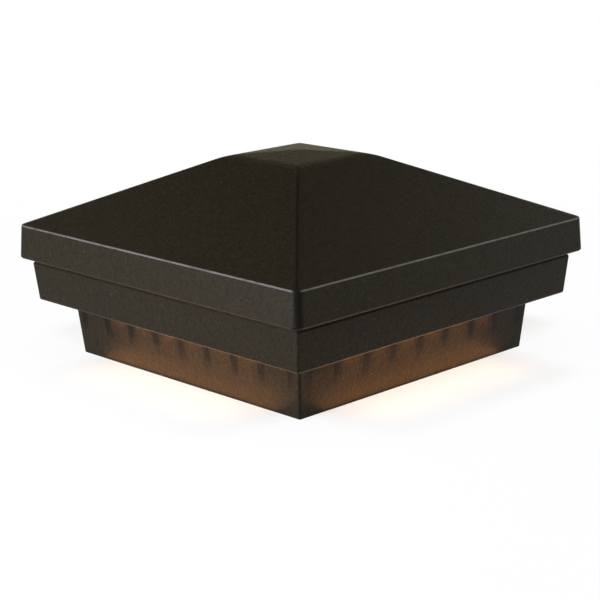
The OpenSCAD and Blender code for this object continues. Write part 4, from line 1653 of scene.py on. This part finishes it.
@dataclass
class InnerLead:
    """One twisted pair from a driver socket to the end of an LED board."""

    side: Side
    start: Point
    points: tuple[Point, ...]
    foot: Point
    shelf: float = 36.6
    straight: float = 5.0
    radius: float = 0.44
    apart: float = 0.01
    twist: float = 16.0
    step: float = 1.5
    roundness: int = 3
    smooth_angle: float = 60.0

    def route(self) -> list[Vector]:
        """Gives the lead's middle line, the same as the CAD solid's."""
        start, foot = Vector(self.start), Vector(self.foot)
        out = Vector((math.copysign(self.straight, start.x), 0, 0))
        stops = [start, start + out, *map(Vector, self.points), Vector((foot.x, foot.y, self.shelf)), foot]
        ends = [2 * stops[0] - stops[1], *stops, 2 * stops[-1] - stops[-2]]
        line = []
        for a, b, c, d in zip(ends, ends[1:], ends[2:], ends[3:]):
            steps = max(1, round((c - b).length / self.step))
            line += [self.between(a, b, c, d, k / steps) for k in range(steps)]
        return [*line, foot]

    @staticmethod
    def between(a: Vector, b: Vector, c: Vector, d: Vector, t: float) -> Vector:
        """Gives the Catmull-Rom point between b and c."""
        return 0.5 * (2 * b + (c - a) * t + (2 * a - 5 * b + 4 * c - d) * t * t
                      + (3 * b - a - 3 * c + d) * t ** 3)

    def wire(self, name: str, phase: float) -> bpy.types.Object:
        """Makes one wire of the pair, wound round the middle line.

        Args:
            name: The wire's name.
            phase: Its angle round the line at the start, in radians.

        Returns:
            The wire as a mesh.
        """
        line = self.route()
        data = bpy.data.curves.new(name, "CURVE")
        data.dimensions = "3D"
        data.bevel_depth = self.radius * MM
        data.bevel_resolution = self.roundness
        data.use_fill_caps = True
        spline = data.splines.new("POLY")
        spline.points.add(len(line) - 1)
        normal, length = Vector((0, 0, 1)), 0.0
        for i, point in enumerate(line):
            ahead = (line[min(i + 1, len(line) - 1)] - line[max(i - 1, 0)]).normalized()
            normal = (normal - ahead * normal.dot(ahead)).normalized()
            length += (point - line[i - 1]).length if i else 0.0
            angle = phase + 2 * math.pi * length / self.twist
            off = normal * math.cos(angle) + ahead.cross(normal) * math.sin(angle)
            spline.points[i].co = (*((point + off * (self.radius + self.apart)) * MM), 1)
        Bench.clear()
        wire = bpy.data.objects.new(name, data)
        bpy.context.scene.collection.objects.link(wire)
        Bench.pick(wire)
        bpy.ops.object.convert(target="MESH")
        return Bench.smooth(wire, self.smooth_angle)

    def build(self) -> None:
        """Builds both wires in the CAD lead's place."""
        node = f"lead_{self.side.label}"
        place(self.wire(f"live_wire_{self.side.label}", 0.0), "base", Coats.live, node)
        place(self.wire(f"return_wire_{self.side.label}", math.pi), "base", Coats.neutral, node)


LEADS = (
    InnerLead(Side.LEFT, (-32, 42, 37.7), (
        (-46, 39, 38), (-58, 40, 38.6), (-68, 45, 40.4), (-75, 48, 42.4), (-79.4, 48.4, 40.6)),
        (-80.62, 48.4, 34.1)),
    InnerLead(Side.FRONT, (-32, 24, 37.7), (
        (-48, 22.6, 36), (-58, 17, 32.4), (-64, 6, 31), (-66, -14, 30.4), (-64.5, -36, 30.4),
        (-61, -52, 32), (-56, -64, 36.4), (-50.8, -73.6, 41.6), (-48.6, -79, 40.8)),
        (-48.4, -80.62, 34.1)),
    InnerLead(Side.BACK, (32, 42, 37.7), (
        (40, 46.5, 37.8), (40.4, 56, 38.4), (43, 66, 40.2), (46.8, 74.4, 42.4), (48.2, 79.2, 40.8)),
        (48.4, 80.62, 34.1)),
    InnerLead(Side.RIGHT, (32, 24, 37.7), (
        (48, 22.6, 36), (58, 17, 32.4), (64, 6, 31), (66, -12, 30.4), (66, -28, 32), (69, -40, 37),
        (74.4, -46.4, 42), (79, -48.2, 40.8)), (80.62, -48.4, 34.1)),
)


class Fittings:
    """The seals, screws and clips, which keep their CAD shapes."""

    def build(self) -> None:
        """Dresses the CAD nodes."""
        dress_nodes(Coats.foam, "rim_gasket")
        dress_nodes(Coats.rubber, "cable_grommet")
        dress_nodes(Coats.plated, "board_screws", "lens_screws", "clip_screws")
        dress_nodes(Coats.spring, *(f"roof_clip_{side.label}" for side in Side))


# ---------------------------------------------------------------- studio


@dataclass(frozen=True)
class SoftBox:
    """A square studio lamp, placed by its direction from the object."""

    name: str
    azimuth: float
    elevation: float
    distance: float
    width: float
    height: float
    watts: float
    colour: Colour = WHITE

    def data(self) -> bpy.types.Light:
        """Makes the lamp's data."""
        data = bpy.data.lights.new(self.name, "AREA")
        data.shape = "RECTANGLE"
        data.size, data.size_y = self.width, self.height
        data.energy = self.watts
        data.color = self.colour
        return data

    def build(self, view_azimuth: float, centre: Vector) -> None:
        """Adds the lamp, which the camera doesn't see.

        Args:
            view_azimuth: The camera's direction from the object, in radians.
            centre: The point that the lamp is aimed at.
        """
        out = direction(view_azimuth + math.radians(self.azimuth), math.radians(self.elevation))
        lamp = bpy.data.objects.new(self.name, self.data())
        lamp.location = centre + out * self.distance
        lamp.rotation_mode = "QUATERNION"
        lamp.rotation_quaternion = out.to_track_quat("Z", "Y")
        lamp.visible_camera = False
        bpy.context.scene.collection.objects.link(lamp)


@dataclass(frozen=True)
class SkyPanel(SoftBox):
    """A far, wide lamp that lights the floor evenly; its width is an angle in degrees."""

    def data(self) -> bpy.types.Light:
        """Makes the lamp's data."""
        data = bpy.data.lights.new(self.name, "SUN")
        data.angle = math.radians(self.width)
        data.energy = self.watts
        data.color = self.colour
        return data


@dataclass
class Studio:
    """The camera, pale floor, backdrop and soft boxes."""

    azimuth: float = -math.pi / 4 + 0.0133
    elevation: float = 0.2328
    roll: float = -0.0168
    distance: float = 0.7884
    target: float = 46.98 * MM
    focal: float = 100.93
    sensor: float = 36.0
    clip: Range = (0.01, 50.0)
    shift: Pair = (-0.0007, -0.0783)
    floor: float = 8.0
    floor_colour: Colour = (0.95, 0.95, 0.95)
    shares: Range = (0.60, 0.94)
    lit_out: Range = (110.0, 127.0)
    lit_along: Range = (45.0, 72.0)
    far_fade: Range = (0.20, 0.55)
    sky: float = 0.15
    sky_gloss: float = 0.05
    screen: Range = (0.0, 0.08)
    boxes: tuple[SoftBox, ...] = (
        SkyPanel("top_panel", 0, 82, 3.0, 55, 0, 1.65),
        SoftBox("left_box", -47, 5, 0.45, 0.25, 0.12, 1.7, (0.93, 0.96, 1.13)),
        SoftBox("left_rim", -135, 25, 1.3, 0.8, 0.6, 0.3),
        SoftBox("right_rim", 135, 25, 1.3, 0.8, 0.6, 1.0),
        SoftBox("left_eave", -100, 33, 1.2, 0.35, 0.35, 1.0),
        SoftBox("right_eave", 100, 33, 1.2, 0.35, 0.35, 2.5),
        SoftBox("back_box", 180, 10, 1.4, 1.4, 0.35, 1.75, (1.0, 0.88, 0.58)),
    )

    def camera(self) -> None:
        """Adds the camera at the photograph's viewing angle."""
        out = direction(self.azimuth, self.elevation)
        right = (-out).cross(Vector((0, 0, 1))).normalized()
        up = right.cross(-out)
        c, s = math.cos(self.roll), math.sin(self.roll)
        right, up = right * c + up * s, up * c - right * s
        data = bpy.data.cameras.new("camera")
        data.lens = self.focal
        data.sensor_width = self.sensor
        data.shift_x, data.shift_y = self.shift
        data.clip_start, data.clip_end = self.clip
        camera = bpy.data.objects.new("camera", data)
        turn = Matrix((right, up, out)).transposed()
        spot = Vector((0, 0, self.target)) + out * self.distance
        camera.matrix_world = Matrix.Translation(spot) @ turn.to_4x4()
        bpy.context.scene.collection.objects.link(camera)
        bpy.context.scene.camera = camera

    def ground(self) -> None:
        """Adds the pale floor: the object shades it near by, and it turns to plain white further out."""
        Bench.clear()
        bpy.ops.mesh.primitive_plane_add(size=self.floor)
        floor = Bench.settle("floor")
        shader = Shader(bpy.data.materials.new("Floor"))
        distance = shader.node("ShaderNodeVectorMath", {"operation": "LENGTH"}, {0: shader.point()}, "Value")
        low, high = self.shares
        out, along, _ = shader.square()
        shaded = (1 - out.ramp(*self.lit_out)) * (1 - along.ramp(*self.lit_along))
        share = high - shaded * (high - low) + distance.ramp(*self.far_fade) * (1 - high)
        camera, glossy, through = shader.rays()
        seen = (camera + glossy + through).smaller(1.0)
        diffuse = shader.node("ShaderNodeBsdfDiffuse", {}, {"Color": self.floor_colour})
        glow = shader.node("ShaderNodeEmission", {}, {"Color": WHITE, "Strength": 1.0})
        shader.finish(shader.node("ShaderNodeMixShader", {}, {0: seen * share, 1: diffuse, 2: glow}))
        floor.data.materials.append(shader.owner)
        floor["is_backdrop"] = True

    def backdrop(self) -> None:
        """Adds the world: a white screen all round, which gloss also shows, and a dim studio above it."""
        world = bpy.data.worlds.new("Studio")
        bpy.context.scene.world = world
        shader = Shader(world)
        camera, glossy, through = shader.rays()
        clear = camera.larger(through)
        rise = shader.node("ShaderNodeSeparateXYZ", {}, {0: shader.node("ShaderNodeTexCoord")}, "Z")
        above = rise.ramp(*self.screen)
        level = glossy * (1 - above * (1 - self.sky_gloss)) + (1 - glossy) * self.sky
        level = clear + (1 - clear) * level
        shader.finish(shader.node("ShaderNodeBackground", {}, {"Color": WHITE, "Strength": level}))

    def build(self) -> None:
        """Builds the studio."""
        bpy.context.scene.view_settings.view_transform = "Standard"
        self.camera()
        self.ground()
        self.backdrop()
        for box in self.boxes:
            box.build(self.azimuth, Vector((0, 0, self.target)))
        LOG.info("studio with %d lamps", len(self.boxes))


def corners() -> list[list[float]]:
    """Gives the whole object's lowest and highest corners."""
    return [list(corner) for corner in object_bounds()]


def main() -> None:
    """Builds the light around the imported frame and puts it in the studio."""
    logging.basicConfig(level=logging.INFO, format="%(name)s: %(message)s")
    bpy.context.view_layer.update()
    Studio().build()
    BaseCasting().build()
    RoofCasting().build()
    for side in Side:
        LightRow(side).build()
    DriverDeck().build()
    for lead in LEADS:
        lead.build()
    Fittings().build()


if __name__ == "__main__":
    main()
